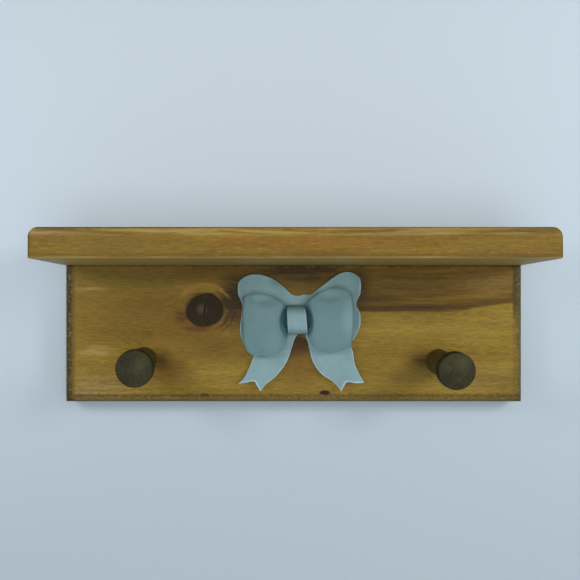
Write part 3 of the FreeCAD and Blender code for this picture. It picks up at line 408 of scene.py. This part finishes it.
for axis, edge_mm, reach_mm, patch_colour, share in (
        (axes[0], BOARD_END_MM, 9.8, "#4a3d1c", upper), (axes[0], BOARD_END_MM, 6.6, "#5a5231", crumbs),
        (axes[2], -BOARD_EDGE_MM, 8.6, low_arris_tone, crumbs),
        (axes[0], -BOARD_END_MM, 10.0, "#5e4a22", crumbs), (axes[0], -BOARD_END_MM, 7.8, "#2b2710", crumbs),
        (axes[2], BOARD_EDGE_MM, 3.6, "#33290f", crumbs)):
    worn = near_edge(tree, spots, axis, edge_mm, reach_mm, 4.0)
    worn = add_node(tree, "Math", {0: worn, 1: share}, operation="MULTIPLY")
    colour = add_node(tree, "Mix", {0: worn, 6: colour, 7: patch_colour}, out=2, data_type="RGBA")

# Crumbs of old wax and dust caught in the stain of the front arrises, pale and dark by turns.
dust = add_node(tree, "TexNoise", {"Vector": add_node(tree, "Mapping", {
    "Vector": spots, "Scale": per_mm(1.9, 1.9, 1.4)}), "Scale": 1.0, "Detail": 3.0, "Roughness": 0.6})
in_front = add_node(tree, "MapRange", {0: axes[1], 1: -14.0, 2: -18.5})
for axis, edge_mm, reach_mm, share in (
        (axes[0], -BOARD_END_MM, 7.8, 0.75), (axes[2], -BOARD_EDGE_MM, 8.2, 0.4),
        (axes[0], BOARD_END_MM, 8.0, 0.45), (axes[2], BOARD_EDGE_MM, 4.6, 0.5)):
    worn = near_edge(tree, spots, axis, edge_mm, reach_mm, 4.0)
    worn = add_node(tree, "Math", {0: worn, 1: in_front}, operation="MULTIPLY")
    for first, last, tone in ((0.54, 0.7, "#8f8350"), (0.46, 0.32, "#1c1a0a")):
        caught = add_node(tree, "MapRange", {0: dust, 1: first, 2: last, 4: share})
        caught = add_node(tree, "Math", {0: caught, 1: worn}, operation="MULTIPLY")
        colour = add_node(tree, "Mix", {0: caught, 6: colour, 7: tone}, out=2, data_type="RGBA")
gloss = add_node(tree, "MapRange", {0: streaks, 3: 0.45, 4: 0.62})
end_material(tree, colour, gloss, fibres, 0.12, Specular_IOR_Level=0.17)
repaint("back_board", material)
waxed_pine_board = material

# The plank on top, of the same stock, redder where the stain took more.
material, tree, spots, axes, streaks, fibres, colour = pine(
    "waxed_pine_plank", (-60.0, 132.0), ("#7d6117", "#886a18", "#92741f"),
    stains_and_shade=(
        ((10, -100, 60), (120, 30, 8), "#8c6021", 0.55),
        ((118, -100, 57), (30, 30, 10), "#7f642a", 0.5),
        # painted shade: the front darker to the left, against the stronger light there
        ((-110, -100, 60), (80, 30, 14), "#735e24", 0.7),
        ((-150, -100, 68.5), (34, 30, 6), "#5a4822", 0.8),
        ((152, -100, 68.5), (30, 30, 6), "#654f25", 0.8),
    ))

# Pale wood rubbed bare below its top arris, in patches.
bare = gap_from(tree, axes[2], PLANK_TOP_MM - 3.0)
bare = add_node(tree, "MapRange", {0: bare, 1: 3.6, 2: 0.6, 4: 0.6}, interpolation_type="SMOOTHSTEP")
patchy = add_node(tree, "MapRange", {0: streaks, 1: 0.4, 2: 0.6})
bare = add_node(tree, "Math", {0: bare, 1: patchy}, operation="MULTIPLY")
colour = add_node(tree, "Mix", {0: bare, 6: colour, 7: "#a8905a"}, out=2, data_type="RGBA")

# Old stain on both ends and along the front top arris, where it is stronger to the left.
leftward = add_node(tree, "MapRange", {0: axes[0], 1: -120.0, 2: 60.0, 3: 1.0, 4: 0.35})
in_front = add_node(tree, "MapRange", {0: axes[1], 1: -90.0, 2: -96.0})
leftward = add_node(tree, "Math", {0: leftward, 1: in_front}, operation="MULTIPLY")
for axis, edge_mm, reach_mm, share in (
        (axes[0], -PLANK_END_MM, 3.4, 0.8), (axes[0], PLANK_END_MM, 3.0, 0.4),
        (axes[2], PLANK_TOP_MM, 2.9, leftward)):
    worn = near_edge(tree, spots, axis, edge_mm, reach_mm, 2.4)
    worn = add_node(tree, "Math", {0: worn, 1: share}, operation="MULTIPLY")
    colour = add_node(tree, "Mix", {0: worn, 6: colour, 7: "#4b3f20"}, out=2, data_type="RGBA")

# A darker line just over the low arris, a paler underside that is painted light, and the low front arris
# rubbed bare.
damp = gap_from(tree, axes[2], PLANK_LOW_MM + 1.9)
damp = add_node(tree, "MapRange", {0: damp, 1: 1.6, 2: 0.5, 4: 0.5}, interpolation_type="SMOOTHSTEP")
colour = add_node(tree, "Mix", {0: damp, 6: colour, 7: "#5a4517"}, out=2, data_type="RGBA")
under = add_node(tree, "MapRange", {0: axes[2], 1: PLANK_LOW_MM + 0.6, 2: PLANK_LOW_MM + 0.1, 4: 0.6})
colour = add_node(tree, "Mix", {0: under, 6: colour, 7: "#b0985a"}, out=2, data_type="RGBA")
low_arris = add_node(tree, "Mapping", {
    "Vector": spots, "Scale": (0.0, 1.0, 1.0), "Location": (0.0, -PLANK_FRONT_MM, -PLANK_LOW_MM)})
low_arris = add_node(tree, "VectorMath", {0: low_arris}, out=1, operation="LENGTH")
low_arris = add_node(tree, "MapRange", {0: low_arris, 1: 1.7, 2: 0.9, 4: 0.35},
                     interpolation_type="SMOOTHSTEP")
low_arris = add_node(tree, "Math", {0: low_arris, 1: patchy}, operation="MULTIPLY")
colour = add_node(tree, "Mix", {0: low_arris, 6: colour, 7: "#a8905a"}, out=2, data_type="RGBA")
gloss = add_node(tree, "MapRange", {0: streaks, 3: 0.45, 4: 0.62})
end_material(tree, colour, gloss, fibres, 0.12, Specular_IOR_Level=0.2)
repaint("shelf_board", material)

# The dead knot: dense resinous end grain, nearly black, with close rings that wobble, and a dull surface. Its
# crack is drawn as a paler brown line along the solid's wedge, which leans a little right at its top; the
# paler brown is painted light that thins the wedge's shade.
KNOT_HEART_MM = (-66.6, 18.6)
KNOT_RING_MM = 1.5
WOBBLE_MM = 3.0
CRACK_SLOPE = 0.115
material, tree, spots = new_material("dead_pine_knot")
wobble = add_node(tree, "TexNoise", {"Vector": spots, "Scale": 0.16, "Detail": 2.0}, out=1)
wobble = add_node(tree, "VectorMath", {0: wobble, 1: (WOBBLE_MM,) * 3}, operation="MULTIPLY")
bent = add_node(tree, "VectorMath", {0: spots, 1: wobble}, operation="ADD")
centred = add_node(tree, "Mapping", {
    "Vector": bent, "Scale": (1.0, 0.0, 1.12),
    "Location": (-KNOT_HEART_MM[0] - WOBBLE_MM / 2, 0.0, -KNOT_HEART_MM[1] - WOBBLE_MM / 2)})
reach = add_node(tree, "VectorMath", {0: centred}, out=1, operation="LENGTH")
turns = add_node(tree, "Math", {0: reach, 1: KNOT_RING_MM}, operation="DIVIDE")
rings = add_node(tree, "Math", {0: turns}, operation="FRACT")
grit = add_node(tree, "TexNoise", {"Vector": spots, "Scale": 0.9, "Detail": 5.0, "Roughness": 0.7})
tone = add_node(tree, "ValToRGB", {"Fac": rings}, ramp=(
    (0.1, "#463a20"), (0.55, "#2f2612"), (1.0, "#1a1307")))
speck = add_node(tree, "ValToRGB", {"Fac": grit}, ramp=((0.35, "#8a8378"), (0.7, "#ffffff")))
colour = add_node(tree, "Mix", {0: 0.8, 6: tone, 7: speck}, out=2, data_type="RGBA", blend_type="MULTIPLY")
colour = patched(tree, colour, spots, 1.0, (((-68, -20, 18), (6, 30, 6), "#55483a", 0.8),))
axes = add_node(tree, "SeparateXYZ", {0: spots}).node.outputs
crack = add_node(tree, "Math", {0: axes[2], 1: -CRACK_SLOPE}, operation="MULTIPLY")
crack = add_node(tree, "Math", {0: axes[0], 1: crack}, operation="ADD")
crack = gap_from(tree, crack, KNOT_MM[0] - CRACK_SLOPE * KNOT_MM[1])
crack = add_node(tree, "MapRange", {0: crack, 1: 1.0, 2: 0.7, 4: 0.8})
colour = add_node(tree, "Mix", {0: crack, 6: colour, 7: "#3d321c"}, out=2, data_type="RGBA")
end_material(tree, colour, 0.65, rings, 0.12, Specular_IOR_Level=0.15)
repaint("knot", material)

# The pegs: turned dowel under a dark walnut stain. The grain runs along the peg, its head shows faint rings,
# its neck is painted paler as painted light on its shade, and its head carries painted sheen and shade. The
# rings' middles stand equally far left and right, so one material does both pegs.
PEG_RINGS_MM = (110.3, 0.0, -22.1)
PEG_RING_MM = 2.1
material, tree, spots = new_material("dark_stained_dowel")
axes = add_node(tree, "SeparateXYZ", {0: spots}).node.outputs
lines = add_node(tree, "TexNoise", {"Vector": add_node(tree, "Mapping", {
    "Vector": spots, "Scale": per_mm(1.6, 45, 1.6)}), "Scale": 1.0, "Detail": 3.0, "Roughness": 0.6})
aside = add_node(tree, "Math", {0: axes[0]}, operation="ABSOLUTE")
head = add_node(tree, "CombineXYZ", {0: aside, 2: axes[2]})
head = add_node(tree, "VectorMath", {0: head, 1: PEG_RINGS_MM}, operation="SUBTRACT")
head = add_node(tree, "VectorMath", {0: head}, out=1, operation="LENGTH")
head = add_node(tree, "Math", {0: head, 1: lines}, operation="ADD")
turns = add_node(tree, "Math", {0: head, 1: PEG_RING_MM}, operation="DIVIDE")
rings = add_node(tree, "Math", {0: turns}, operation="FRACT")
rings = add_node(tree, "ValToRGB", {"Fac": rings}, ramp=(
    (0.2, "#ffffff"), (0.75, "#dcd8d0"), (1.0, "#c6c0b4")))
colour = add_node(tree, "ValToRGB", {"Fac": lines}, ramp=(
    (0.32, "#2a270e"), (0.52, "#343116"), (0.7, "#3e3a1c")))
colour = add_node(tree, "Mix", {0: 0.3, 6: colour, 7: rings}, out=2, data_type="RGBA", blend_type="MULTIPLY")
clouds = add_node(tree, "TexNoise", {"Vector": spots, "Scale": 0.11, "Detail": 2.0})
cloud = add_node(tree, "ValToRGB", {"Fac": clouds}, ramp=((0.36, "#a39c8c"), (0.62, "#ffffff")))
colour = add_node(tree, "Mix", {0: 0.7, 6: colour, 7: cloud}, out=2, data_type="RGBA", blend_type="MULTIPLY")
# painted light: the neck paler than the rest of the peg
painted_light_neck = add_node(tree, "MapRange", {0: axes[1], 1: -60.0, 2: -56.0, 4: 0.75}, interpolation_type="SMOOTHSTEP")
colour = add_node(tree, "Mix", {0: painted_light_neck, 6: colour, 7: "#564a28"}, out=2, data_type="RGBA")
# painted sheen on the heads' upper right, a painted reflection, and painted shade on their lower left
colour = patched(tree, colour, spots, 1.0, (
    ((113.5, -70, -18.5), (9, 12, 8), "#46452c", 0.6), ((103, -70, -29), (9, 12, 8), "#23230f", 0.8),
    ((-115, -70, -28), (9, 12, 9), "#25250f", 0.8), ((-104, -70, -20), (9, 12, 9), "#44432c", 0.5)))
end_material(tree, colour, 0.6, lines, 0.08, Specular_IOR_Level=0.22)

# The pegs lean down and to the right, as they were bored by eye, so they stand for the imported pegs, which are
# square to the board. Each is turned from one dowel: a stem that swells to a straight head with a rubbed rim,
# given as lengths along the peg and radii. A plug of the board's own wood closes the part of the packed
# socket's mouth that the leaning stem leaves open.
PEG_LEAN_MM = (2.45, -50.0, -3.05)
PEG_ROOT_RADIUS_MM = 9.3
PEG_SUNK_MM = 1.2
PEG_TURNED_MM = ((5.0, 8.85), (10.0, 8.6), (15.0, 8.6), (20.0, 8.85), (25.0, 9.4), (30.0, 10.15),
                 (34.0, 10.95), (38.0, 11.95), (41.0, 12.75), (42.0, 12.85), (49.1, 12.8), (49.55, 12.65),
                 (49.85, 12.35), (50.0, 11.9))
PLUG_RADIUS_MM = 8.4
PLUG_DEPTH_MM = 3.0
PLUG_FRONT_MM = -20.02
for side, root_mm, socket_mm in (("left", (-110.5, -20.0, -19.2), (-108.9, -22.0)),
                                 ("right", (107.15, -20.0, -20.8), (109.8, -23.7))):
    bpy.ops.object.select_all(action="DESELECT")
    bpy.ops.mesh.primitive_cylinder_add(vertices=72, radius=PEG_ROOT_RADIUS_MM * MM, depth=PEG_SUNK_MM * MM,
                                        location=(0, 0, -PEG_SUNK_MM / 2 * MM))
    peg = bpy.context.object
    peg.name = "turned_peg_" + side
    bpy.ops.object.transform_apply(location=True)
    bpy.ops.object.mode_set(mode="EDIT")
    bpy.ops.mesh.select_all(action="DESELECT")
    bpy.ops.object.mode_set(mode="OBJECT")
    for face in peg.data.polygons:
        face.select = face.normal.z > 0.9
    bpy.ops.object.mode_set(mode="EDIT")
    reached, radius = 0.0, PEG_ROOT_RADIUS_MM
    for height, next_radius in PEG_TURNED_MM:
        bpy.ops.mesh.extrude_region_move(TRANSFORM_OT_translate={"value": (0, 0, (height - reached) * MM)})
        bpy.ops.transform.resize(value=(next_radius / radius, next_radius / radius, 1.0))
        reached, radius = height, next_radius
    bpy.ops.object.mode_set(mode="OBJECT")
    bpy.ops.object.shade_smooth_by_angle(angle=SMOOTH_BELOW)
    peg.rotation_euler = Vector(PEG_LEAN_MM).to_track_quat("Z", "X").to_euler()
    peg.location = Vector(root_mm) * MM
    bpy.ops.object.transform_apply(location=True, rotation=True)
    peg.data.materials.clear()
    peg.data.materials.append(material)
    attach(peg, "root")
    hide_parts("peg_" + side)

    bpy.ops.object.select_all(action="DESELECT")
    plug_mm = (socket_mm[0], PLUG_FRONT_MM + PLUG_DEPTH_MM / 2, socket_mm[1])
    bpy.ops.mesh.primitive_cylinder_add(vertices=64, radius=PLUG_RADIUS_MM * MM, depth=PLUG_DEPTH_MM * MM,
                                        rotation=(math.radians(90), 0, 0), location=Vector(plug_mm) * MM)
    plug = bpy.context.object
    plug.name = "socket_plug_" + side
    bpy.ops.object.transform_apply(location=True, rotation=True)
    bpy.ops.object.shade_smooth_by_angle(angle=SMOOTH_BELOW)
    plug.data.materials.clear()
    plug.data.materials.append(waxed_pine_board)
    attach(plug, "root")

# Screws and plates: countersunk steel gone dull, and zinc-plated pressings with a fine crystal mottle.
for name, dull, bright, rough, nodes in (
        ("aged_screw_steel", "#5c5852", "#8a857c", 0.5, ("shelf_screws",)),
        ("zinc_plated_pressing", "#a9acad", "#c9cbcb", 0.38, ("keyhole_plate_left", "keyhole_plate_right")),
        ("zinc_plated_screw", "#a2a5a6", "#c2c4c4", 0.34, ("keyhole_screws",))):
    material, tree, spots = new_material(name)
    mottle = add_node(tree, "TexNoise", {"Vector": spots, "Scale": 0.7, "Detail": 4.0, "Roughness": 0.6})
    colour = add_node(tree, "ValToRGB", {"Fac": mottle}, ramp=((0.35, dull), (0.65, bright)))
    gloss = add_node(tree, "MapRange", {0: mottle, 3: rough - 0.08, 4: rough + 0.1})
    end_material(tree, colour, gloss, mottle, 0.02, Metallic=1.0)
    for node in nodes:
        repaint(node, material)

# The bow's pins: drawn brass, gone a little brown.
material, tree, spots = new_material("drawn_brass")
haze = add_node(tree, "TexNoise", {"Vector": spots, "Scale": 1.2, "Detail": 3.0})
colour = add_node(tree, "ValToRGB", {"Fac": haze}, ramp=((0.35, "#9b7c42"), (0.65, "#c4a25c")))
end_material(tree, colour, 0.3, haze, 0.01, Metallic=1.0)
repaint("bow_pins", material)


# The bow: sheet cut to outline, folded and curled by hand. Each sheet is a grid laid between four runs of
# points that follow its edges, then given its thickness. Places are in millimetres right of and above the
# bow's middle, and off the wall.
SOFT_EDGE_MM = 0.22


def run_point(points, share):
    """The point at a share of the length of a smooth run through its points."""
    spans = [math.dist(start, finish) for start, finish in zip(points, points[1:])]
    left = share * sum(spans)
    first = 0
    while first < len(spans) - 1 and left > spans[first]:
        left -= spans[first]
        first += 1
    part = min(left / spans[first], 1.0)
    near = [points[min(max(first + step, 0), len(points) - 1)] for step in (-1, 0, 1, 2)]
    return [0.5 * (2 * b + (c - a) * part + (2 * a - 5 * b + 4 * c - d) * part ** 2
                   + (3 * (b - c) + d - a) * part ** 3) for a, b, c, d in zip(*near)]


def between_runs(low, top, inner, outer, across, up):
    """A place on a sheet between its low, top, inner and outer edges, which share their ends."""
    low_spot, top_spot = run_point(low, across), run_point(top, across)
    inner_spot, outer_spot = run_point(inner, up), run_point(outer, up)
    place = []
    for axis in (0, 1):
        ruled = (1 - up) * low_spot[axis] + up * top_spot[axis]
        crossed = (1 - across) * inner_spot[axis] + across * outer_spot[axis]
        shared = (1 - up) * ((1 - across) * low[0][axis] + across * low[-1][axis])
        shared += up * ((1 - across) * top[0][axis] + across * top[-1][axis])
        place.append(ruled + crossed - shared)
    return place


def smooth_step(value, start, finish):
    """A soft rise from 0 to 1 between two values."""
    share = min(max((value - start) / (finish - start), 0.0), 1.0)
    return share * share * (3 - 2 * share)


def folded_sheet(name, paint, columns, rows, shape, inward, nodes):
    """A grid shaped by shape(across, up), which gives right, above and off the wall; then its thickness."""
    bpy.ops.object.select_all(action="DESELECT")
    bpy.ops.mesh.primitive_grid_add(x_subdivisions=columns, y_subdivisions=rows, size=1.0)
    sheet = bpy.context.object
    sheet.name = name
    for point in sheet.data.vertices:
        right, above, off = shape(point.co.x + 0.5, point.co.y + 0.5)
        point.co = Vector((BOW_MIDDLE_MM[0] + right, -off, BOW_MIDDLE_MM[1] + above)) * MM
    bpy.ops.object.mode_set(mode="EDIT")
    bpy.ops.mesh.select_all(action="SELECT")
    if inward:
        bpy.ops.mesh.flip_normals()
    bpy.ops.object.mode_set(mode="OBJECT")
    thick = sheet.modifiers.new("thickness", "SOLIDIFY")
    thick.thickness, thick.offset, thick.use_even_offset = SHEET_MM * MM, -1.0, True
    edge = sheet.modifiers.new("soft_edge", "BEVEL")
    edge.width, edge.segments = SOFT_EDGE_MM * MM, 2
    edge.limit_method, edge.angle_limit = "ANGLE", math.radians(50)
    for modifier in ("thickness", "soft_edge"):
        bpy.ops.object.modifier_apply(modifier=modifier)
    bpy.ops.object.shade_smooth_by_angle(angle=SMOOTH_BELOW)
    sheet.data.materials.clear()
    sheet.data.materials.append(paint)
    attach(sheet, "root")
    if nodes:
        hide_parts(*nodes)


# Chalky furniture paint over folded sheet: a dull grey-blue with brush marks. It is thinner and paler along
# cut edges, worn paint with a painted highlight where the edges catch the light, and painted shade darkens the
# folds beside and under the band, the loops' top edges and the band's top. The loops' darker tones are painted
# shade and the lobes' paler ones painted light, and patches of painted light and shade lie on single places.
def chalky_paint(name, tones, rim_share, shade_folds=(), light_and_shade_patches=()):
    """The paint of one kind of sheet.

    It has two tones and a share of pale rim, worn paint with a painted highlight. A fold of painted shade has
    the way across it, its start, end and depth. A patch lays painted light where it is paler and painted shade
    where it is darker.
    """
    material, tree, spots = new_material(name)
    cloud = add_node(tree, "TexNoise", {"Vector": spots, "Scale": 0.07, "Detail": 3.0})
    colour = add_node(tree, "ValToRGB", {"Fac": cloud}, ramp=((0.34, tones[0]), (0.66, tones[1])))
    on_sheet = add_node(tree, "SeparateXYZ", {0: add_node(tree, "TexCoord", out=2)}).node.outputs
    brushed = add_node(tree, "TexNoise", {"Vector": add_node(tree, "Mapping", {
        "Vector": spots, "Scale": per_mm(5, 5, 1.1)}), "Scale": 1.0, "Detail": 4.0})
    if rim_share:
        # pale rim: worn paint with a painted highlight on the cut edges
        sides = [gap_from(tree, on_sheet[axis], 0.5) for axis in (0, 1)]
        rim = add_node(tree, "Math", {0: sides[0], 1: sides[1]}, operation="MAXIMUM")
        rim = add_node(tree, "MapRange", {0: rim, 1: 0.455, 2: 0.495, 4: rim_share},
                       interpolation_type="SMOOTHSTEP")
        worn = add_node(tree, "Math", {0: rim, 1: brushed}, operation="MULTIPLY")
        colour = add_node(tree, "Mix", {0: worn, 6: colour, 7: "#c4d9db"}, out=2, data_type="RGBA")
    # painted shade in the folds
    for way, start, end, depth in shade_folds:
        painted_shade = add_node(tree, "MapRange", {0: on_sheet[way], 1: end, 2: start, 4: depth},
                            interpolation_type="SMOOTHSTEP")
        colour = add_node(tree, "Mix", {0: painted_shade, 6: colour, 7: "#3e6266"}, out=2, data_type="RGBA")
    # painted light and painted shade in single places
    colour = patched(tree, colour, spots, 1.0, light_and_shade_patches)
    end_material(tree, colour, 0.62, brushed, 0.08, Specular_IOR_Level=0.35)
    return material


tail_paint = chalky_paint("chalky_blue_paint", ("#769499", "#809fa4"), 0.9)
band_paint = chalky_paint("chalky_blue_paint_band", ("#749297", "#7e9da2"), 0.6, ((1, 0.2, 0.42, 0.62),))
# painted light on the lobes' paler tones and painted shade on the loops' darker ones
lobe_paint = chalky_paint("chalky_blue_paint_lobes", ("#7c9ea3", "#88aaaf"), 0.25, (), (
    ((-12, -25, 38), (11, 30, 7), "#4c7878", 0.6), ((24, -25, 31.5), (9, 30, 6), "#a3c3c4", 0.5)))
loop_paint = chalky_paint("chalky_blue_paint_deep", ("#5e7e82", "#678589"), 0.0, (
    (0, 0.115, 0.155, 1.0), (1, 0.99, 0.95, 0.5)), (
    ((41, -25, 12), (10, 30, 22), "#8aacb0", 0.45), ((26, -32, 29.5), (12, 30, 6), "#8fb1b5", 0.55),
    ((-22.5, -32, 26.5), (11, 30, 5), "#8fb1b5", 0.5)))


# The back sheet: two rounded lobes whose ends curl forward round the loops.
LOBE_LEFT = ((-38.6, -19), (-40.6, -13), (-41.3, -6), (-40.5, 1), (-39.8, 9), (-40.6, 13.5), (-42.2, 17.5),
             (-43.2, 21.5), (-42.8, 25.6), (-41.2, 28.6))
LOBE_TOP = ((-41.2, 28.6), (-38.4, 31), (-34.5, 32.6), (-30, 33), (-24.8, 32.3), (-17.5, 29.5), (-10, 24),
            (-4, 18.5), (1.4, 17.4), (5, 18.3), (9, 18), (12.9, 20.2), (20, 25.7), (28, 31.7), (33, 34.2),
            (37.6, 34.8), (41.4, 33.6), (44.4, 31))
LOBE_RIGHT = ((41.4, -15), (43.6, -10), (45.4, -4.8), (45.9, -0.4), (45.2, 5), (43.3, 9.5), (43, 12.3),
              (44.2, 15.6), (45.8, 19.6), (46.5, 24), (46, 28), (44.4, 31))
LOBE_UNDER = ((-38.6, -19), (-29, -18.5), (-12, -11), (0, -8.5), (12, -10.5), (28, -15.8), (41.4, -15))
CURL_RADIUS_MM = 12.0
CURL_FROM_MM = (33.0, 36.0)
LOBE_LEAN_MM = 4.0
LEAN_FROM_MM, LEAN_TO_MM = 10.0, 38.0


def back_sheet(across, up):
    """The back sheet's shape: flat in its middle, curled forward at its ends, and leaning out at its top."""
    right, above = between_runs(LOBE_UNDER, LOBE_TOP, LOBE_LEFT, LOBE_RIGHT, across, up)
    past = abs(right) - (CURL_FROM_MM[0] if right < 0 else CURL_FROM_MM[1])
    past = min(max(past, 0.0), 0.8 * CURL_RADIUS_MM)
    curl = CURL_RADIUS_MM - math.sqrt(CURL_RADIUS_MM ** 2 - past ** 2)
    return right, above, BACK_FRONT_MM + curl + LOBE_LEAN_MM * smooth_step(above, LEAN_FROM_MM, LEAN_TO_MM)


folded_sheet("bow_back_sheet", lobe_paint, 96, 40, back_sheet, False, ("bow_back",))

# The tails: flat where the loops hold them, then curling gently forward to their swallow-tailed ends.
TAIL_CURL_RADIUS_MM = 120.0
TAIL_FLAT_MM = 21.0
TAIL_LEFT_EDGES = (
    ((-43, -47), (-37, -46), (-31.6, -45.4), (-29.4, -48.4), (-27, -52.5)),
    ((-9, 5.9), (0.6, 5.9)),
    ((-43, -47), (-38.5, -42), (-35, -35), (-32.5, -28.5), (-28.1, -21.1), (-17.9, -10.1), (-10.6, 0),
     (-9, 5.9)),
    ((-27, -52.5), (-22.8, -47.3), (-16, -41.9), (-9.5, -34.2), (-6.1, -27.4), (-3.8, -20.2), (-2, -14.6),
     (0.2, -11), (1, -7), (0.8, -1), (0.6, 5.9)))
TAIL_RIGHT_EDGES = (
    ((32.2, -52.5), (34.4, -48.6), (36.8, -45.8), (43, -46.6), (49.2, -46.2)),
    ((4.8, 5.9), (12, 5.9)),
    ((32.2, -52.5), (30, -49.3), (25.6, -45), (19, -40.8), (14.5, -36), (11, -29.5), (9, -21), (8, -16.5),
     (6.1, -11), (4.8, 5.9)),
    ((49.2, -46.2), (46, -40.5), (42.5, -33), (40.5, -22), (35.3, -15.8), (27.5, -10.5), (18, -3), (12, 5.9)))


def tail_shape(edges):
    """The shape of one tail between its edges."""
    def shape(across, up):
        right, above = between_runs(*edges, across, up)
        below = max(-above - TAIL_FLAT_MM, 0.0)
        curl = TAIL_CURL_RADIUS_MM - math.sqrt(TAIL_CURL_RADIUS_MM ** 2 - below ** 2)
        return right, above, TAIL_FRONT_MM + curl
    return shape


for side, edges in (("left", TAIL_LEFT_EDGES), ("right", TAIL_RIGHT_EDGES)):
    folded_sheet("bow_tail_sheet_" + side, tail_paint, 22, 60, tail_shape(edges), False,
                 ("bow_tail_" + side,))

# The loops: one strip, folded out and back on each side. From the band the front sheet rises steeply, swells,
# and turns round at the outer fold. The front and back runs give how far off the wall the strip is at each
# share of the loop's width.
LOOP_LEFT_EDGES = (
    ((-6.9, -10.4), (-8.0, -15.8), (-10.2, -20.6), (-13, -23.6), (-17, -25.6), (-24, -26.3), (-31.5, -26.2),
     (-36.8, -23.4)),
    ((-7.7, 9.9), (-10.5, 12), (-14, 14.2), (-20, 17.3), (-27.5, 18.7), (-34.5, 18), (-39.2, 16.8)),
    ((-6.9, -10.4), (-8.8, -8.5), (-11.3, -5.4), (-12.4, -1.5), (-12.2, 2), (-10.8, 6), (-8.8, 8.9),
     (-7.7, 9.9)),
    ((-36.8, -23.4), (-39, -18), (-40, -10), (-40.2, 0), (-40, 9), (-39.2, 16.8)))
LOOP_RIGHT_EDGES = (
    ((7.4, -10.4), (9.6, -15.2), (12.6, -19.8), (17.5, -22.9), (25, -23.9), (31, -22.6), (37, -21),
     (40, -20)),
    ((5.9, 10.1), (8.6, 13.2), (14, 17.8), (19, 21), (25, 22.7), (31, 22.9), (35.6, 21.6), (39.2, 18.4)),
    ((7.4, -10.4), (9.2, -8.2), (10.6, -4.8), (10.9, -0.8), (10.3, 3.4), (8.6, 7.4), (6.8, 9.4), (5.9, 10.1)),
    ((40, -20), (40.6, -12), (41, -4), (41.2, 6), (40.7, 13), (39.2, 18.4)))
BAND_SIDES_MM = {-1: ((-6.7, -10.5), (-7.5, 10.0)), 1: ((7.5, -10.5), (5.7, 10.0))}
LOOP_FRONT = ((0.0, 32.2), (0.05, 33.3), (0.14, 34.0), (0.32, 34.5), (0.55, 34.6), (0.66, 34.4), (0.76, 33.7),
              (0.88, 32.4), (0.955, 31.1), (0.99, 29.0), (0.99, 26.4), (0.965, 24.7))
LOOP_BACK = ((0.91, 24.0), (0.6, LOOP_REAR_MM), (0.3, LOOP_REAR_MM), (0.1, LOOP_REAR_MM))
LOOP_CREST_MM = 34.6
LOOP_LEAN_MM = 5.5
TUCK_MM = {-1: -3.6, 1: 2.2}
TUCK_OFF_MM = 26.7
HOLD_MM = 8.9
SWELL_MIDDLE, SWELL_REACH, SWELL_DROP_MM = 0.52, 0.2, 4.0
CORNER_DROP_MM = 1.0


def loop_shape(side, edges):
    """The shape of one loop: from its tuck under the band out, round the fold and back to the tuck."""
    rows = {}

    def row(up):
        """The run of places round the loop at one share of its height."""
        band_low, band_top = BAND_SIDES_MM[side]
        rim = band_low[0] + (band_top[0] - band_low[0]) * up
        waist = -HOLD_MM + 2 * HOLD_MM * up
        start = between_runs(*edges, 0.0, up)
        wall = start[0] - rim
        run = [(TUCK_MM[side], waist, TUCK_OFF_MM), (rim, waist * 1.02, TUCK_OFF_MM),
               (rim + 0.25 * wall, waist * 1.04, 27.0), (rim + 0.72 * wall, 0.5 * (waist + start[1]), 29.2)]
        rise = smooth_step(up, 0.0, 0.16) * smooth_step(1 - up, 0.0, 0.2)
        for share, off in LOOP_FRONT:
            right, above = between_runs(*edges, share, up)
            swell = math.exp(-((share - SWELL_MIDDLE) / SWELL_REACH) ** 2)
            drop = SWELL_DROP_MM * swell * (1 - smooth_step(1 - up, 0.0, 0.26))
            drop += LOOP_LEAN_MM * (1 - up) ** 1.6 * (off - LOOP_REAR_MM) / (LOOP_CREST_MM - LOOP_REAR_MM)
            drop += CORNER_DROP_MM * (1 - rise) * (1 - share)
            run.append((right, above, off - drop))
        for share, off in LOOP_BACK:
            right, above = between_runs(*edges, share, 0.06 + 0.88 * up)
            run.append((right, above, off))
        run.append((TUCK_MM[side], waist * 0.9, LOOP_REAR_MM))
        return run

    def shape(across, up):
        step = round(up, 5)
        if step not in rows:
            rows[step] = row(up)
        return run_point(rows[step], across)
    return shape


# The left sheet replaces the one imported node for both.
folded_sheet("bow_loop_sheet_left", loop_paint, 110, 44, loop_shape(-1, LOOP_LEFT_EDGES), True,
             ("bow_loops",))
folded_sheet("bow_loop_sheet_right", loop_paint, 110, 44, loop_shape(1, LOOP_RIGHT_EDGES), False, ())

# The band: a short strip round the loops' waist, its ends tucked behind.
BAND_RUN = ((5.2, 22.5), (9.4, 22.5), (10.4, 23.2), (10.45, 25), (10.1, 26.4), (8.6, 29), (5.4, 31.8),
            (1.5, 33.1), (-3, 33.3), (-7, 32.1), (-9.6, 29), (-10.5, 26.2), (-10.5, 24.6), (-10.3, 23.2),
            (-9.4, 22.5), (-5.2, 22.5))


def band_shape(across, up):
    """The band's shape: its run round the waist, between the places of its sides at that height."""
    above, off = run_point(BAND_RUN, up)
    left_low, left_top = BAND_SIDES_MM[-1]
    right_low, right_top = BAND_SIDES_MM[1]
    height = (above - left_low[1]) / (left_top[1] - left_low[1])
    left = left_low[0] + (left_top[0] - left_low[0]) * height
    right = right_low[0] + (right_top[0] - right_low[0]) * height
    return left + (right - left) * across, above, off


folded_sheet("bow_band_sheet", band_paint, 16, 64, band_shape, True, ("bow_band",))
